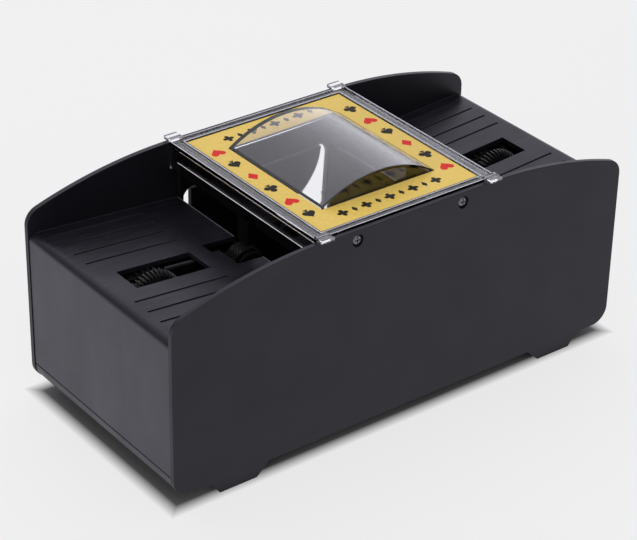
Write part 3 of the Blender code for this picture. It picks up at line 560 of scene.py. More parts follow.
def rounded(a, b, radii, steps=10):
    """A rectangle from a[0] to a[1] and b[0] to b[1]; radii are its low and high corners'."""
    low, high = radii
    corners = (
        (a[1] - low, b[0] + low, low, -90),
        (a[1] - high, b[1] - high, high, 0),
        (a[0] + high, b[1] - high, high, 90),
        (a[0] + low, b[0] + low, low, 180),
    )
    points = []
    for x, z, radius, start in corners:
        points += arc((x, z), radius, start, start + 90, steps)
    return points


def mirrored(outline, side):
    return [(side * x, z) for x, z in outline]


def both(span, side):
    return tuple(sorted(side * x for x in span))


def combine(piece, tool, operation="DIFFERENCE"):
    """Cuts a tool from a piece or joins it on, and then removes the tool."""
    modifier = piece.modifiers.new("work", "BOOLEAN")
    modifier.operation = operation
    modifier.solver = "EXACT"
    modifier.object = tool
    graph = bpy.context.evaluated_depsgraph_get()
    mesh = bpy.data.meshes.new_from_object(piece.evaluated_get(graph))
    piece.modifiers.remove(modifier)
    piece.data = mesh
    bpy.data.objects.remove(tool, do_unlink=True)
    return piece


def bore(piece, centre, radius, span, count=48):
    return combine(piece, prism("tool", circle(centre, radius, count), "Y", span))


def add_bevel(piece, width, segments, angle):
    bevel = piece.modifiers.new("edges", "BEVEL")
    bevel.width = width
    bevel.segments = segments
    bevel.limit_method = "ANGLE"
    bevel.angle_limit = angle
    return bevel


def soften(piece, width, segments):
    """Rounds the sharp edges and shades the rest smooth."""
    sharp_angle = math.radians(32)
    piece.data.shade_smooth()
    piece.data.set_sharp_from_angle(angle=sharp_angle)
    if width:
        add_bevel(piece, width, segments, sharp_angle).harden_normals = True


def finish_piece(piece, body, material, width=0.0, stands_for=(), segments=3):
    """Rounds a piece's edges, and gives it its material, its body and what it stands for."""
    soften(piece, width, segments)
    piece.data.materials.clear()
    piece.data.materials.append(material)
    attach(piece, body)
    if stands_for:
        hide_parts(*stands_for)
    return piece


def dress(node, material, width=0.0):
    """Gives a CAD node that is right as it is a better material and softer edges."""
    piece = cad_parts[node]
    for slot in piece.material_slots:
        slot.material = material
    if width:
        add_bevel(piece, width, 2, math.radians(40))


def tray_z(x):
    """The height of a tray's upper face at a distance from the middle."""
    return TRAY_END_Z - TRAY_FALL * (HALF_LENGTH - x)


# ---------------- housing


def panel_outline():
    """A side panel's outline: two feet, rounded corners, a curved top and a flat middle."""
    low = (HALF_LENGTH - CORNER_RADIUS, PANEL_BOTTOM + CORNER_RADIUS)
    half = [(FOOT_TOP[0], PANEL_BOTTOM), (FOOT_SOLE[0], 0)]
    half += [(FOOT_SOLE[1], 0), (FOOT_TOP[1], PANEL_BOTTOM)]
    half += arc(low, CORNER_RADIUS, -90, 0, 16)
    top_centre = (TOP_FLAT_HALF, PANEL_TOP - TOP_ARC_RADIUS)
    reach = TOP_ARC_RADIUS - CORNER_RADIUS
    lean = math.degrees(math.acos((low[0] - top_centre[0]) / reach))
    high = (low[0], top_centre[1] + reach * math.sin(math.radians(lean)))
    half += arc(high, CORNER_RADIUS, 0, lean, 16)
    half += arc(top_centre, TOP_ARC_RADIUS, lean, 90, 24)[1:]
    return half + [(-x, z) for x, z in reversed(half)]


def make_panel(name, inner, outer, plastic):
    """A side panel. The operator's one also has the drawer's opening and the button's hole."""
    panel = prism(name, panel_outline(), "Y", sorted((inner, outer)))
    outward = math.copysign(1, outer)
    for side in SIDES.values():
        centre = (side * SCREW_X, SCREW_Z)
        recess = sorted((outer - outward * RECESS_DEEP, outer + outward * PAST))
        bore(panel, centre, RECESS_RADIUS, recess)
        hole = sorted((inner - outward * PAST, outer))
        bore(panel, centre, SCREW_HOLE_RADIUS, hole, 24)
    if outer > 0:
        span = (inner - PAST, outer + PAST)
        opening = rounded((-OPENING_HALF, OPENING_HALF), OPENING_Z, OPENING_RADII)
        combine(panel, prism("tool", opening, "Y", span))
        bore(panel, BUTTON, BUTTON_RADIUS + BUTTON_GAP, span)
    return finish_piece(panel, HOUSING, plastic, EDGE_BEVEL, [name])


def make_screw(name, x, outer, steel):
    """A round-headed screw with a cross recess, sunk in its panel."""
    outward = math.copysign(1, outer)
    head_mm = [(0.3, 0.0), (0.3, 1.0), (0.42, 1.5), (0.7, 1.82), (1.1, 1.9)]
    shank_mm = [(1.1, 1.1), (6.0, 1.1), (6.6, 0.0)]
    profile = [(outer - outward * depth, r) for depth, r in from_mm(head_mm + shank_mm)]
    piece = turned_solid(f"{name}_head", profile, (x, SCREW_Z), 32)
    span = sorted((outer - outward * CROSS_DEEP, outer + outward * PAST))
    for wide, tall in (CROSS, CROSS[::-1]):
        cross_x = (x - wide, x + wide)
        cross_z = (SCREW_Z - tall, SCREW_Z + tall)
        combine(piece, box("tool", cross_x, span, cross_z))
    return finish_piece(piece, HOUSING, steel, 0.06 * MM, [name], 2)


def make_tray_shell(word, side, plastic):
    """The sloping tray and its end wall, with the wheels' openings and the grooves."""
    fall_deg = math.degrees(math.atan(TRAY_FALL))
    edge_x = TRAY_OUTER_X - TRAY_EDGE_RADIUS
    edge = (edge_x, tray_z(edge_x) - TRAY_EDGE_RADIUS / math.cos(math.radians(fall_deg)))
    outline = [(TRAY_OUTER_X, SEAM_Z + SEAM_GAP)]
    outline += arc(edge, TRAY_EDGE_RADIUS, 0, 90 + fall_deg, 14)
    outline += [(TRAY_INNER_X, tray_z(TRAY_INNER_X))]
    outline += [(TRAY_INNER_X, tray_z(TRAY_INNER_X) - TRAY_THICK)]
    wall_x = TRAY_OUTER_X - TRAY_THICK
    outline += [(wall_x, tray_z(wall_x) - TRAY_THICK), (wall_x, SEAM_Z + SEAM_GAP)]
    name = f"tray_shell_{word}"
    shell = prism(f"{name}_skin", mirrored(outline, side), "Y", (-INSIDE_Y, INSIDE_Y))
    inner = TRAY_INNER_X - PAST
    combine(shell, box("tool", both(APERTURE_X, side), APERTURE_Y, TRAY_CUT_Z))
    combine(shell, box("tool", both((inner, NOTCH_X), side), NOTCH_Y, TRAY_CUT_Z))
    combine(shell, box("tool", both((inner, DEEP_NOTCH_X), side), DEEP_NOTCH_Y, TRAY_CUT_Z))
    bm = bmesh.new()
    for offset in GROOVE_Y:
        for sign in (-1, 1):
            middle = sign * offset
            groove = [(x, tray_z(x) + PAST) for x in GROOVE_X]
            groove += [(x, tray_z(x) - GROOVE_DEEP) for x in reversed(GROOVE_X)]
            groove_y = (middle - GROOVE_HALF, middle + GROOVE_HALF)
            add_prism(bm, mirrored(groove, side), "Y", groove_y)
    combine(shell, object_from("tool", bm))
    return finish_piece(shell, HOUSING, plastic, 0.2 * MM, [name])


def make_tray_highlight_lines(word, side, rubbed, lip_highlight_grey):
    """Thin paler strips along the tray's inner lip and where it meets both panels: painted
    highlight lines.
    """
    lip_x = both((TRAY_INNER_X, TRAY_INNER_X + LIP_HIGHLIGHT_WIDE), side)
    lip_z = (tray_z(TRAY_INNER_X) - HIGHLIGHT_DEEP, tray_z(TRAY_INNER_X) + HIGHLIGHT_PROUD)
    spans = {"near": (-INSIDE_Y, NOTCH_Y[0]), "far": (DEEP_NOTCH_Y[1], INSIDE_Y)}
    for place, span in spans.items():
        lip = box(f"lip_highlight_{word}_{place}", lip_x, span, lip_z)
        finish_piece(lip, HOUSING, lip_highlight_grey)
    outer_x = TRAY_OUTER_X - TRAY_EDGE_RADIUS
    ends = [(TRAY_INNER_X, tray_z(TRAY_INNER_X)), (outer_x, tray_z(outer_x))]
    outline = [(x, z + HIGHLIGHT_PROUD) for x, z in ends]
    outline += [(x, z - HIGHLIGHT_DEEP) for x, z in reversed(ends)]
    for place, sign in (("near", -1), ("far", 1)):
        side_line_y = both((INSIDE_Y - SIDE_HIGHLIGHT_WIDE, INSIDE_Y), sign)
        side_line = prism(f"side_highlight_{word}_{place}", mirrored(outline, side), "Y", side_line_y)
        finish_piece(side_line, HOUSING, rubbed)


def slot_row(places, half, radius, steps, depth):
    """A tool for a row of rounded slots in a lower face: depth is the face's z and the cut."""
    bm = bmesh.new()
    for x in places:
        slot = rounded((x - half[0], x + half[0]), (-half[1], half[1]), (radius, radius), steps)
        add_prism(bm, slot, "Z", (depth[0] - PAST, depth[0] + depth[1]))
    return object_from("tool", bm)


def make_base(plastic):
    """The pan under the machine, with the drawer's rails, the door's hole and a row of vents."""
    end = TRAY_OUTER_X
    corner = (end - CORNER_RADIUS, PANEL_BOTTOM + CORNER_RADIUS)
    outer = arc(corner, CORNER_RADIUS, -90, 0, 16) + [(end, SEAM_Z)]
    inner = arc(corner, CORNER_RADIUS - BASE_THICK, -90, 0, 16) + [(end - BASE_THICK, SEAM_Z)]
    right = outer + inner[::-1]
    left = [(-x, z) for x, z in reversed(right)]
    pan = prism("base_pan_skin", right + left, "Y", (-INSIDE_Y, INSIDE_Y))
    for side in SIDES.values():
        rail_z = (BASE_TOP - PAST, RAIL_TOP)
        rail = box("tool", both(RAIL_X, side), (-RAIL_HALF_Y, RAIL_HALF_Y), rail_z)
        combine(pan, rail, "UNION")
    low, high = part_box("battery_door")
    hatch_x = (low.x - HATCH_GAP, high.x + HATCH_GAP)
    hatch_y = (low.y - HATCH_GAP, high.y + HATCH_GAP)
    combine(pan, box("tool", hatch_x, hatch_y, (PANEL_BOTTOM - PAST, BASE_TOP + PAST)))
    vents = [VENT_START_X + VENT_PITCH * k for k in range(VENT_COUNT)]
    combine(pan, slot_row(vents, VENT_HALF, VENT_RADIUS, 5, (PANEL_BOTTOM, VENT_DEEP)))
    return finish_piece(pan, HOUSING, plastic, 0.25 * MM, ["base_pan"])


def make_battery_door(plastic):
    """The battery door, with a row of grip slots at one end and a finger recess at the other."""
    low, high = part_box("battery_door")
    door = box("battery_cover", (low.x, high.x), (low.y, high.y), (low.z, high.z))
    slots = [low.x + DOOR_SLOT_START + DOOR_SLOT_PITCH * k for k in range(DOOR_SLOTS)]
    combine(door, slot_row(slots, DOOR_SLOT_HALF, DOOR_SLOT_RADIUS, 4, (low.z, DOOR_SLOT_DEEP)))
    grip = circle((high.x, 0), DOOR_GRIP_RADIUS, 40)
    combine(door, prism("tool", grip, "Z", (low.z - PAST, low.z + DOOR_GRIP_DEEP)))
    return finish_piece(door, "door_body", plastic, 0.2 * MM, ["battery_door"])


def notch_outline(outer_x):
    """The grip notch: two convex lobes that meet at a rounded inner end."""
    half, height = NOTCH_LOBE
    xs = [NOTCH_TIP_X + (half - NOTCH_TIP_X) * k / 40 for k in range(41)]
    upper = [(x, NOTCH_LOBE_Z - height * math.sqrt(1 - (x / half) ** 2)) for x in xs]
    lower = [(x, 2 * NOTCH_WAIST_Z - z) for x, z in upper]
    radius = upper[0][1] - NOTCH_WAIST_Z
    tip = arc((NOTCH_TIP_X, NOTCH_WAIST_Z), radius, 90, 270, 8)[1:-1]
    return lower + [(outer_x, lower[-1][1]), (outer_x, upper[-1][1])] + upper[::-1] + tip


def make_drawer(plastic):
    """The card drawer: a tall front with a grip notch on its right, and ribs on its floor."""
    low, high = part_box("card_drawer")
    inner = DRAWER_HALF - DRAWER_WALL
    floor_top = low.z + DRAWER_FLOOR
    drawer = box("drawer_tray", (-DRAWER_HALF, DRAWER_HALF), (low.y, high.y), (low.z, high.z))
    inside_y = (low.y + DRAWER_WALL, DRAWER_FRONT_Y)
    combine(drawer, box("tool", (-inner, inner), inside_y, (floor_top, high.z + PAST)))
    past_x = DRAWER_HALF + PAST
    above_walls = (DRAWER_WALL_TOP, high.z + PAST)
    combine(drawer, box("tool", (-past_x, past_x), (low.y - PAST, DRAWER_FRONT_Y), above_walls))
    front_y = (DRAWER_FRONT_Y - DRAWER_WALL, high.y + PAST)
    for side in SIDES.values():
        corner = both((DRAWER_FRONT_HALF, past_x), side)
        combine(drawer, box("tool", corner, front_y, above_walls))
    combine(drawer, prism("tool", notch_outline(past_x), "Y", front_y))
    bm = bmesh.new()
    foot, top = DRAWER_RIB_HALF
    rib_y = (low.y + DRAWER_RIB_INSET, DRAWER_FRONT_Y - DRAWER_RIB_INSET)
    for k in range(DRAWER_RIBS):
        x = DRAWER_RIB_PITCH * (k - DRAWER_RIBS // 2)
        z = (floor_top - DRAWER_RIB_TALL, floor_top + DRAWER_RIB_TALL)
        rib = [(x - foot, z[0]), (x + foot, z[0]), (x + top, z[1]), (x - top, z[1])]
        add_prism(bm, rib, "Y", rib_y)
    combine(drawer, object_from("tool", bm), "UNION")
    return finish_piece(drawer, "drawer_body", plastic, 0.35 * MM, ["card_drawer"])


def make_button(plastic, ring_paint):
    """The power button's dished cap, its flange and stem, and a ring inlaid in the cap."""
    stem = [(38.0, 0.0), (38.0, 1.6), (42.8, 1.6)]
    flange = [(42.8, 7.0), (44.0, 7.0), (44.0, 5.6)]
    round_edge = [(48.1, 5.6), (48.5, 5.35), (48.7, 4.9)]
    dished_face = [(48.65, 4.2), (48.45, 2.8), (48.35, 1.4), (48.3, 0.0)]
    profile = from_mm(stem + flange + round_edge + dished_face)
    cap = turned_solid("button_cap", profile, BUTTON)
    finish_piece(cap, "button_body", plastic, 0.12 * MM, ["power_button"], 2)
    ring_mm = ((-0.4, 2.5), (-0.17, 2.55), (-0.14, 3.05), (-0.4, 3.1))
    profile = [(BUTTON_FRONT + y * MM, radius * MM) for y, radius in ring_mm]
    ring = turned("button_ring", profile, BUTTON)
    return finish_piece(ring, "button_body", ring_paint)


# ---------------- lid and label


def arch_outline(half, rise, steps=40):
    """The window's arch, from one foot to the other, over the lid's top."""
    radius = (half**2 + rise**2) / (2 * rise)
    centre = (0, LID_Z[1] + rise - radius)
    open_deg = math.degrees(math.asin(half / radius))
    return arc(centre, radius, 90 - open_deg, 90 + open_deg, steps)


def frame_ring(name, outer, inner, z):
    """A rectangular ring between two half-sizes."""
    piece = box(name, (-outer[0], outer[0]), (-outer[1], outer[1]), z)
    hole_z = (z[0] - PAST, z[1] + PAST)
    return combine(piece, box("tool", (-inner[0], inner[0]), (-inner[1], inner[1]), hole_z))


def lid_skirt_outline(bottom):
    """One skirt with its two snap legs, as (y, z)."""
    leg = (-LEG_INNER_Y - LEG_RADIUS, LEG_BOTTOM + LEG_RADIUS)
    fillet = (-LEG_INNER_Y + SKIRT_FILLET, bottom - SKIRT_FILLET)
    skirt = [(-LID_HALF_Y + LEG_INSET, LEG_BOTTOM)] + arc(leg, LEG_RADIUS, -90, 0, 6)
    skirt += arc(fillet, SKIRT_FILLET, 180, 90, 6)
    skirt += [(-y, z) for y, z in reversed(skirt)]
    top = LID_Z[0] + SKIRT_OVERLAP
    return skirt + [(LID_HALF_Y, top), (-LID_HALF_Y, top)]


def make_lid(clear, lid_highlight):
    """The clear lid: its plate, rims, arched window, skirts, snap legs and four ears."""
    lid = box("clear_lid", (-LID_HALF_X, LID_HALF_X), (-LID_HALF_Y, LID_HALF_Y), LID_Z)
    half_x, half_y = WINDOW_HALF
    arch = arch_outline(half_x, WINDOW_RISE) + [(-half_x, WINDOW_FOOT), (half_x, WINDOW_FOOT)]
    combine(lid, prism("tool", arch, "Y", (-half_y, half_y)), "UNION")
    for outer, rise in RIMS.values():
        inner = (outer[0] - RIM_WIDE, outer[1] - RIM_WIDE)
        rim_z = (LID_Z[1] - RIM_FOOT, LID_Z[1] + rise)
        combine(lid, frame_ring("tool", outer, inner, rim_z), "UNION")
    # The clear skirt stops short of its lower edge, where a pale painted highlight strip takes
    # over.
    clear_bottom = SKIRT_BOTTOM + HIGHLIGHT_STRIP_TALL
    skirt = lid_skirt_outline(clear_bottom)
    for side in SIDES.values():
        skirt_x = both((LID_HALF_X - SKIRT_THICK, LID_HALF_X), side)
        combine(lid, prism("tool", skirt, "X", skirt_x), "UNION")
        for sign in (-1, 1):
            ear_x = both((EAR_INNER_X, LID_HALF_X), side)
            combine(lid, box("tool", ear_x, both(EAR_Y, sign), EAR_Z), "UNION")
    inner_x, inner_y = half_x - WINDOW_WALL, half_y - WINDOW_WALL
    hollow = arch_outline(inner_x, WINDOW_RISE - WINDOW_WALL)
    hollow += [(-inner_x, LID_Z[0] - PAST), (inner_x, LID_Z[0] - PAST)]
    combine(lid, prism("tool", hollow, "Y", (-inner_y, inner_y)))
    seat_half = (LABEL_HALF[0] + LABEL_GAP, LABEL_HALF[1] + LABEL_GAP)
    seat_z = (LABEL_Z[0] - SEAT_GAP, LID_Z[1] + SEAT_CUT_RISE)
    combine(lid, frame_ring("tool", seat_half, WINDOW_HALF, seat_z))
    finish_piece(lid, "lid_body", clear, 0.22 * MM, ["lid"], 2)
    make_lid_highlight_lines(lid_highlight, clear_bottom)


def make_lid_highlight_lines(lid_highlight, clear_bottom):
    """Pale strips on the top of both rims and on the lower edge of each skirt: painted highlight
    lines on the clear lid.
    """
    for place, (outer, rise) in RIMS.items():
        inner = (outer[0] - FILM_WIDE, outer[1] - FILM_WIDE)
        film_bottom = LID_Z[1] + rise + FILM_GAP
        film_z = (film_bottom, film_bottom + FILM_THICK)
        rim = frame_ring(f"rim_highlight_{place}", outer, inner, film_z)
        finish_piece(rim, "lid_body", lid_highlight)
    edge_y = LEG_INNER_Y - SKIRT_FILLET
    for word, side in SIDES.items():
        edge_x = both((LID_HALF_X - SKIRT_THICK, LID_HALF_X), side)
        edge_z = (SKIRT_BOTTOM, clear_bottom - SKIN_GAP)
        edge = box(f"skirt_highlight_{word}", edge_x, (-edge_y, edge_y), edge_z)
        finish_piece(edge, "lid_body", lid_highlight)


def polar_outline(radius_at, count):
    """A closed outline from a function of the angle."""
    points = []
    for k in range(count):
        angle = math.tau * k / count
        radius = radius_at(angle)
        points.append((radius * math.cos(angle), radius * math.sin(angle)))
    return points


def reach_of_circles(circles, angle):
    """How far a ray from the middle goes before it leaves the last of the circles it meets."""
    best = 0.0
    for x, y, radius in circles:
        along = x * math.cos(angle) + y * math.sin(angle)
        aside_squared = x * x + y * y - along * along
        if aside_squared < radius * radius:
            best = max(best, along + math.sqrt(radius * radius - aside_squared))
    return best


def heart_outline():
    """A heart, point down, on the usual sine and cosine curve."""
    points = []
    for k in range(48):
        t = math.tau * k / 48
        x = math.sin(t) ** 3
        y = (13 * math.cos(t) - 5 * math.cos(2 * t) - 2 * math.cos(3 * t) - math.cos(4 * t)) / 16
        points.append((x, y + 0.1))
    return points


def pip_outlines():
    """Each suit symbol as a list of outlines, two units tall and laid over each other."""
    heart = heart_outline()
    leaf = [(x * 0.88, 0.12 - y * 0.88) for x, y in heart]
    leaves = ((0, 0.46, 0.44), (-0.48, -0.22, 0.44), (0.48, -0.22, 0.44), (0, 0, 0.3))
    clover = polar_outline(lambda a: reach_of_circles(leaves, a), 72)
    stem = [(-0.38, -1.0), (0.38, -1.0), (0.1, -0.6), (0.08, -0.1), (-0.08, -0.1), (-0.1, -0.6)]
    diamond = [(0, 1.0), (-0.74, 0), (0, -1.0), (0.74, 0)]
    return {"heart": [heart], "spade": [leaf, stem], "club": [clover, stem], "diamond": [diamond]}


def print_shapes(name, placed, material):
    """Ink shapes on the label: each is (outlines, x, y, size), upright for the operator."""
    bm = bmesh.new()
    for outlines, x, y, size in placed:
        for layer, outline in enumerate(outlines):
            points = [(x - size * u, y - size * v) for u, v in outline]
            ink_z = (LABEL_Z[1] - INK_SUNK, LABEL_Z[1] + INK_PROUD + INK_LAYER * layer)
            add_prism(bm, points, "Z", ink_z)
    piece = object_from(name, bm)
    return finish_piece(piece, "lid_body", material)


def make_label(card, paper, red, dark):
    """The printed card with its white back, the suit symbols and the two ornamental bands."""
    print_bottom = LABEL_Z[1] - PRINT_THICK
    hole = (WINDOW_HALF[0] + LABEL_GAP, WINDOW_HALF[1] + LABEL_GAP)
    label = frame_ring("printed_label", LABEL_HALF, hole, (print_bottom, LABEL_Z[1]))
    finish_piece(label, "lid_body", card, stands_for=["label_insert"])
    back = frame_ring("label_back", LABEL_HALF, hole, (LABEL_Z[0], print_bottom - SKIN_GAP))
    finish_piece(back, "lid_body", paper)
    pips = pip_outlines()
    red_shapes, dark_shapes = [], []
    for word, side in SIDES.items():
        for kind, y in zip(PIPS[word], PIP_Y):
            shapes = red_shapes if kind in ("heart", "diamond") else dark_shapes
            shapes.append((pips[kind], side * PIP_X, y, PIP_SIZE))
    petals = polar_outline(lambda a: 0.45 + 0.55 * abs(math.cos(2 * a)), 64)
    lozenge = [(0, 0.8), (-0.45, 0), (0, -0.8), (0.45, 0)]
    for sign in (-1, 1):
        for k in range(BAND_COUNT):
            x = (k - (BAND_COUNT - 1) / 2) * BAND_PITCH
            shape = petals if k % 2 == 0 else lozenge
            dark_shapes.append(([shape], x, sign * BAND_Y, BAND_SIZE))
    print_shapes("red_print", red_shapes, red)
    print_shapes("dark_print", dark_shapes, dark)


# ---------------- wheels


def treaded_wheel(name, centre, span, seat, tread, steps, rows):
    """A tyre whose outer radius at (angle, y) is given by tread, on a plain bore."""
    ys = [span[0] + (span[1] - span[0]) * k / (rows - 1) for k in range(rows)]
    bore_rows = [(span[1], seat), (span[0], seat)]

    def rows_at(angle):
        return [(y, tread(angle, y)) for y in ys] + bore_rows

    bm = bmesh.new()
    join_loops(bm, turned_rows(bm, rows_at, centre, steps))
    return object_from(name, bm)


def triangle_wave(value):
    """0 at whole numbers and 1 half-way between them."""
    return 1 - abs(2 * (value % 1.0) - 1)


def shoulder_fall(y, span, shoulder):
    """How far the tread has fallen away at y, near either side of a tyre."""
    width, fall = shoulder
    inwards = min(y - span[0], span[1] - y) / width
    return fall * (1 - min(1.0, inwards)) ** 2


def feed_tread(angle, y):
    """Flat-topped ribs across the tread, with steep sides and shoulders."""
    rib = min(1.0, max(0.0, 3.2 * triangle_wave(angle * FEED_RIBS / math.tau) - 1.2))
    return FEED_RADIUS - RIB_TALL * (1 - rib) - shoulder_fall(y, FEED_TYRE_Y, FEED_SHOULDER)


def exit_tread(angle, y):
    """Diamond knurling, with flattened tips and narrow shoulders."""
    around = angle * EXIT_CELLS / math.tau
    along = (y - EXIT_TYRE_Y[0]) / KNURL_PITCH
    diamond = min(triangle_wave(around + along), triangle_wave(around - along))
    valley = KNURL_TALL * (1 - min(1.0, 1.35 * diamond))
    return EXIT_RADIUS - valley - shoulder_fall(y, EXIT_TYRE_Y, EXIT_SHOULDER)


def pulley_rows(hole, groove, flange):
    """The belt pulley at the near end of a spool, as (y, radius) in millimetres."""
    near = [(-11.2, hole), (-11.2, flange), (-10.4, flange)]
    return near + [(-10, groove), (-8.2, groove), (-7.8, flange)]


def make_feed_wheel(word, side, rubber, hub_plastic):
    """A ribbed tyre on a spool with a belt pulley, a web with round holes and a short boss."""
    centre = (side * FEED[0], FEED[1])
    body = f"feed_wheel_body_{word}"
    tyre = treaded_wheel(
        f"feed_tread_{word}", centre, FEED_TYRE_Y, FEED_SEAT, feed_tread, FEED_RIBS * 8, 9
    )
    finish_piece(tyre, body, rubber, stands_for=[f"feed_tyre_{word}"])
    hole, groove, flange = 1.6, 5.15, 6.35
    profile = pulley_rows(hole, groove, flange)
    profile += [(-7, flange), (-7, 3.5), (-3.1, 3.5), (-2.4, 4.2), (-2.4, 8.4)]
    profile += [(-3.4, 8.6), (-3.4, 9.7), (0.1, 9.7), (0.1, 8.6)]
    profile += [(-0.9, 8.4), (-0.9, 4.2), (-0.2, 3.2), (2.2, 3.2), (2.2, hole)]
    hub = turned(f"feed_spool_{word}", from_mm(profile), centre, 64)
    bm = bmesh.new()
    for k in range(SPOOL_HOLES):
        angle = math.tau * (k + 0.5) / SPOOL_HOLES
        x = centre[0] + SPOOL_HOLE_CIRCLE * math.cos(angle)
        z = centre[1] + SPOOL_HOLE_CIRCLE * math.sin(angle)
        add_prism(bm, circle((x, z), SPOOL_HOLE_RADIUS, 20), "Y", SPOOL_HOLE_Y)
    combine(hub, object_from("tool", bm))
    finish_piece(hub, body, hub_plastic, 0.12 * MM, [f"feed_hub_{word}"], 2)


def make_exit_roller(word, side, rubber, dark):
    """A knurled tyre on a spool with a small belt pulley."""
    centre = (side * EXIT[0], EXIT[1])
    body = f"exit_roller_body_{word}"
    tyre = treaded_wheel(
        f"exit_knurl_{word}", centre, EXIT_TYRE_Y, EXIT_SEAT, exit_tread, EXIT_CELLS * 8, 33
    )
    finish_piece(tyre, body, rubber, stands_for=[f"exit_tyre_{word}"])
    hole, groove, flange = 1.3, 2.2, 3.4
    profile = pulley_rows(hole, groove, flange)
    profile += [(-6.6, flange), (-6.6, 5.6), (-5.2, 5.6), (-5.2, 4.6), (2, 4.6), (2, hole)]
    hub = turned(f"exit_spool_{word}", from_mm(profile), centre)
    finish_piece(hub, body, dark, 0.12 * MM, [f"exit_hub_{word}"], 2)


def make_shaft_keeper(word, side, plastic):
    """The bar beside the feed wheel that keeps its shaft down, seen in the aperture."""
    inner, outer = [(x, tray_z(x) - KEEPER_DROP) for x in KEEPER_X]
    outline = [(x, top - KEEPER_TALL) for x, top in (inner, outer)]
    round_outer = (outer[0] - KEEPER_RADIUS, outer[1] - KEEPER_RADIUS)
    round_inner = (inner[0] + KEEPER_RADIUS, inner[1] - KEEPER_RADIUS)
    outline += arc(round_outer, KEEPER_RADIUS, 0, 90, 8)
    outline += arc(round_inner, KEEPER_RADIUS, 90, 180, 8)
    bar = prism(f"shaft_keeper_{word}", mirrored(outline, side), "Y", KEEPER_Y)
    finish_piece(bar, HOUSING, plastic, 0.3 * MM)


# ---------------- the scene


def add_area_light(name, place, size, power):
    data = bpy.data.lights.new(name, "AREA")
    data.shape = "RECTANGLE"
    data.size, data.size_y = size
    data.energy = power
    lamp = bpy.data.objects.new(name, data)
    lamp.location = place
    aim = Vector(LIGHT_TARGET) - Vector(place)
    lamp.rotation_euler = aim.to_track_quat("-Z", "Y").to_euler()
    lamp.visible_camera = False
    bpy.context.collection.objects.link(lamp)


def add_floor():
    half = FLOOR_HALF
    corners = [(-half, -half), (half, -half), (half, half), (-half, half)]
    floor = prism("studio_floor", corners, "Z", (-FLOOR_THICK, 0.0))
    floor.data.materials.append(pale_floor())


def add_sky():
    """A soft sky, bright on the operator's side and dim on the near and left sides."""
    world = bpy.data.worlds.new("studio")
    world.use_nodes = True
    tree = world.node_tree
    sky = tree.nodes["Background"]
    sky.inputs["Color"].default_value = SKY_COLOUR
    direction = add_node(tree, "ShaderNodeTexCoord").outputs["Generated"]
    towards = split(tree, direction)
    back = mapped(tree, towards["Y"], 0.4, 1.35, -0.4, 0.4)
    left = mapped(tree, towards["X"], 0.25, 1.0, -0.5, -0.2)
    tree.links.new(worked_out(tree, "MULTIPLY", back, left), sky.inputs["Strength"])
    bpy.context.scene.world = world


def make_studio():
    add_floor()
    add_sky()
    add_area_light("left", place=(-1.9, -0.4, 0.35), size=(1.6, 0.6), power=22)
    add_area_light("front", place=(-0.5, -1.5, 1.6), size=(1.5, 1.5), power=8)
    bpy.context.scene.view_settings.view_transform = "Standard"


def add_camera():
    angles = (CAMERA_HEADING, CAMERA_DROP, CAMERA_ROLL)
    heading, drop, roll = (math.radians(angle) for angle in angles)
    ahead = Vector((math.sin(heading), math.cos(heading), 0))
    forward = ahead * math.cos(drop) - Vector((0, 0, math.sin(drop)))
    level = Vector((math.cos(heading), -math.sin(heading), 0))
    upward = level.cross(forward)
    right = math.cos(roll) * level + math.sin(roll) * upward
    up = math.cos(roll) * upward - math.sin(roll) * level
    data = bpy.data.cameras.new("camera")
    data.sensor_width = CAMERA_SENSOR
    data.lens = CAMERA_LENS
    camera = bpy.data.objects.new("camera", data)
    turn = Matrix((right, up, -forward)).transposed().to_4x4()
    camera.matrix_world = Matrix.Translation(CAMERA_PLACE) @ turn
    bpy.context.collection.objects.link(camera)
    bpy.context.scene.camera = camera


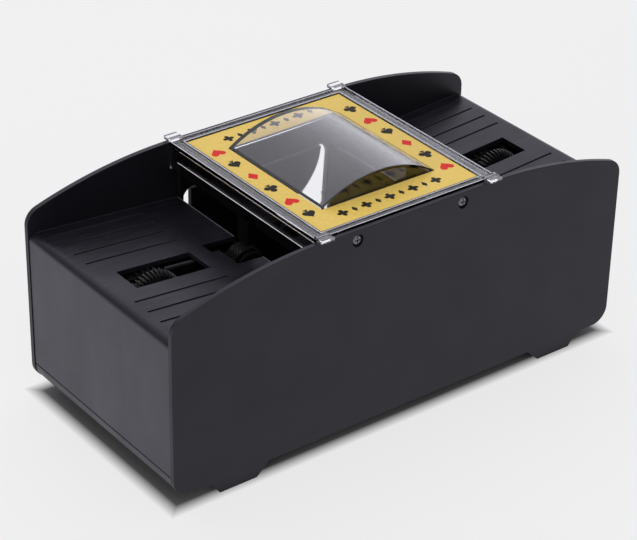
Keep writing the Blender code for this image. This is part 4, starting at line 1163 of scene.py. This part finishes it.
def make_materials():
    """Every look by the name of what it is used for."""
    body, dark = (0.0062, 0.0058, 0.008), (0.003, 0.003, 0.0034)
    return {
        "body": moulded_plastic("black_body", body, 0.44, specular=0.34),
        "tray": moulded_plastic(
            "black_tray",
            (0.0085, 0.0079, 0.0108),
            0.38,
            wear=0.6,
            streak=0.7,
            specular=0.26,
            # painted light on the two end walls
            painted_end_light=(0.033, 0.031, 0.04),
        ),
        "drawer": moulded_plastic("black_drawer", body, 0.6, wear=0.0, specular=0.2),
        "inside": moulded_plastic("dark_inside", dark, 0.65, wear=0.05, specular=0.1),
        # The next two colours are painted highlight lines on the trays
        "rubbed": moulded_plastic("painted_highlight_dark", (0.045, 0.042, 0.052), 0.4, specular=0.4),
        "lip": moulded_plastic("lip_highlight_grey", (0.15, 0.145, 0.165), 0.4, specular=0.4),
        "keeper": moulded_plastic("keeper_grey", (0.025, 0.025, 0.026), 0.5, specular=0.2),
        "hub": moulded_plastic("black_hub", (0.012, 0.012, 0.012), 0.5, specular=0.15),
        "gear": moulded_plastic("white_nylon", (0.6, 0.59, 0.55), 0.42),
        "feed_gear": moulded_plastic("dark_nylon", (0.02, 0.02, 0.02), 0.45),
        "clear": clear_plastic("clear_lid", (0.96, 0.96, 0.985), 0.02),
        # pale painted highlight lines on the lid's rims and skirts
        "lid_highlight": moulded_plastic("lid_highlight_white", (0.75, 0.75, 0.8), 0.5, wear=0.0),
        "card": printed_card("yellow_card", (0.9, 0.635, 0.12)),
        "paper": printed_card("paper_back", (0.8, 0.8, 0.78), 0.6),
        "red_ink": printed_card("red_ink", (0.80, 0.028, 0.022), specular=0.05),
        "dark_ink": printed_card("dark_ink", (0.02, 0.013, 0.008), specular=0.05),
        "cell": printed_card("cell_sleeve", (0.3, 0.05, 0.03)),
        "ring": printed_card("grey_ring", (0.35, 0.35, 0.36)),
        "rubber": moulded_rubber("black_rubber", (0.004, 0.004, 0.0043)),
        "tyre": moulded_rubber("tyre_rubber", (0.003, 0.003, 0.0033), specular=0.5),
        "pad": moulded_plastic("pad_rubber", (0.003, 0.003, 0.003), 0.9, wear=0.0, specular=0.0),
        "steel": drawn_metal("bright_steel", (0.62, 0.62, 0.64), 0.28),
        "screw": drawn_metal("dark_steel", (0.2, 0.2, 0.21), 0.35),
    }


def make_housing(looks):
    make_panel("rear_panel", -PANEL_INNER, -PANEL_OUTER, looks["body"])
    make_panel("front_panel", PANEL_INNER, PANEL_OUTER, looks["body"])
    make_base(looks["tray"])
    make_battery_door(looks["body"])
    make_drawer(looks["drawer"])
    make_button(looks["body"], looks["ring"])
    dress("card_well", looks["inside"], 0.2 * MM)
    dress("power_switch", looks["inside"], 0.3 * MM)
    dress("button_spring", looks["steel"])
    dress("battery_box", looks["body"], 0.2 * MM)
    for place in ("inner", "outer"):
        dress(f"battery_contact_{place}", looks["steel"])
    for number in range(4):
        dress(f"aa_cell_{number + 1}", looks["cell"], 0.3 * MM)


def make_side(word, side, looks):
    """One tray with its wheels, screws and drive."""
    make_tray_shell(word, side, looks["tray"])
    make_tray_highlight_lines(word, side, looks["rubbed"], looks["lip"])
    make_screw(f"rear_screw_{word}", side * SCREW_X, -PANEL_OUTER, looks["screw"])
    make_screw(f"front_screw_{word}", side * SCREW_X, PANEL_OUTER, looks["screw"])
    make_feed_wheel(word, side, looks["tyre"], looks["hub"])
    make_exit_roller(word, side, looks["rubber"], looks["inside"])
    make_shaft_keeper(word, side, looks["keeper"])
    dress(f"card_gate_{word}", looks["pad"], 0.3 * MM)
    dress(f"retard_pad_{word}", looks["pad"], 0.3 * MM)
    dress(f"drive_belt_{word}", looks["rubber"], 0.2 * MM)
    for part in ("feed_axle", "exit_axle", "drive_shaft", "motor_shaft"):
        dress(f"{part}_{word}", looks["steel"], 0.1 * MM)
    dress(f"feed_gear_{word}", looks["feed_gear"], 0.08 * MM)
    for part in ("drive_gear", "motor_pinion"):
        dress(f"{part}_{word}", looks["gear"], 0.08 * MM)
    dress(f"motor_{word}", looks["steel"], 0.5 * MM)
    dress(f"gearbox_frame_{word}", looks["inside"], 0.2 * MM)


def main():
    looks = make_materials()
    make_housing(looks)
    make_lid(looks["clear"], looks["lid_highlight"])
    make_label(looks["card"], looks["paper"], looks["red_ink"], looks["dark_ink"])
    for word, side in SIDES.items():
        make_side(word, side, looks)
    make_studio()
    add_camera()


main()
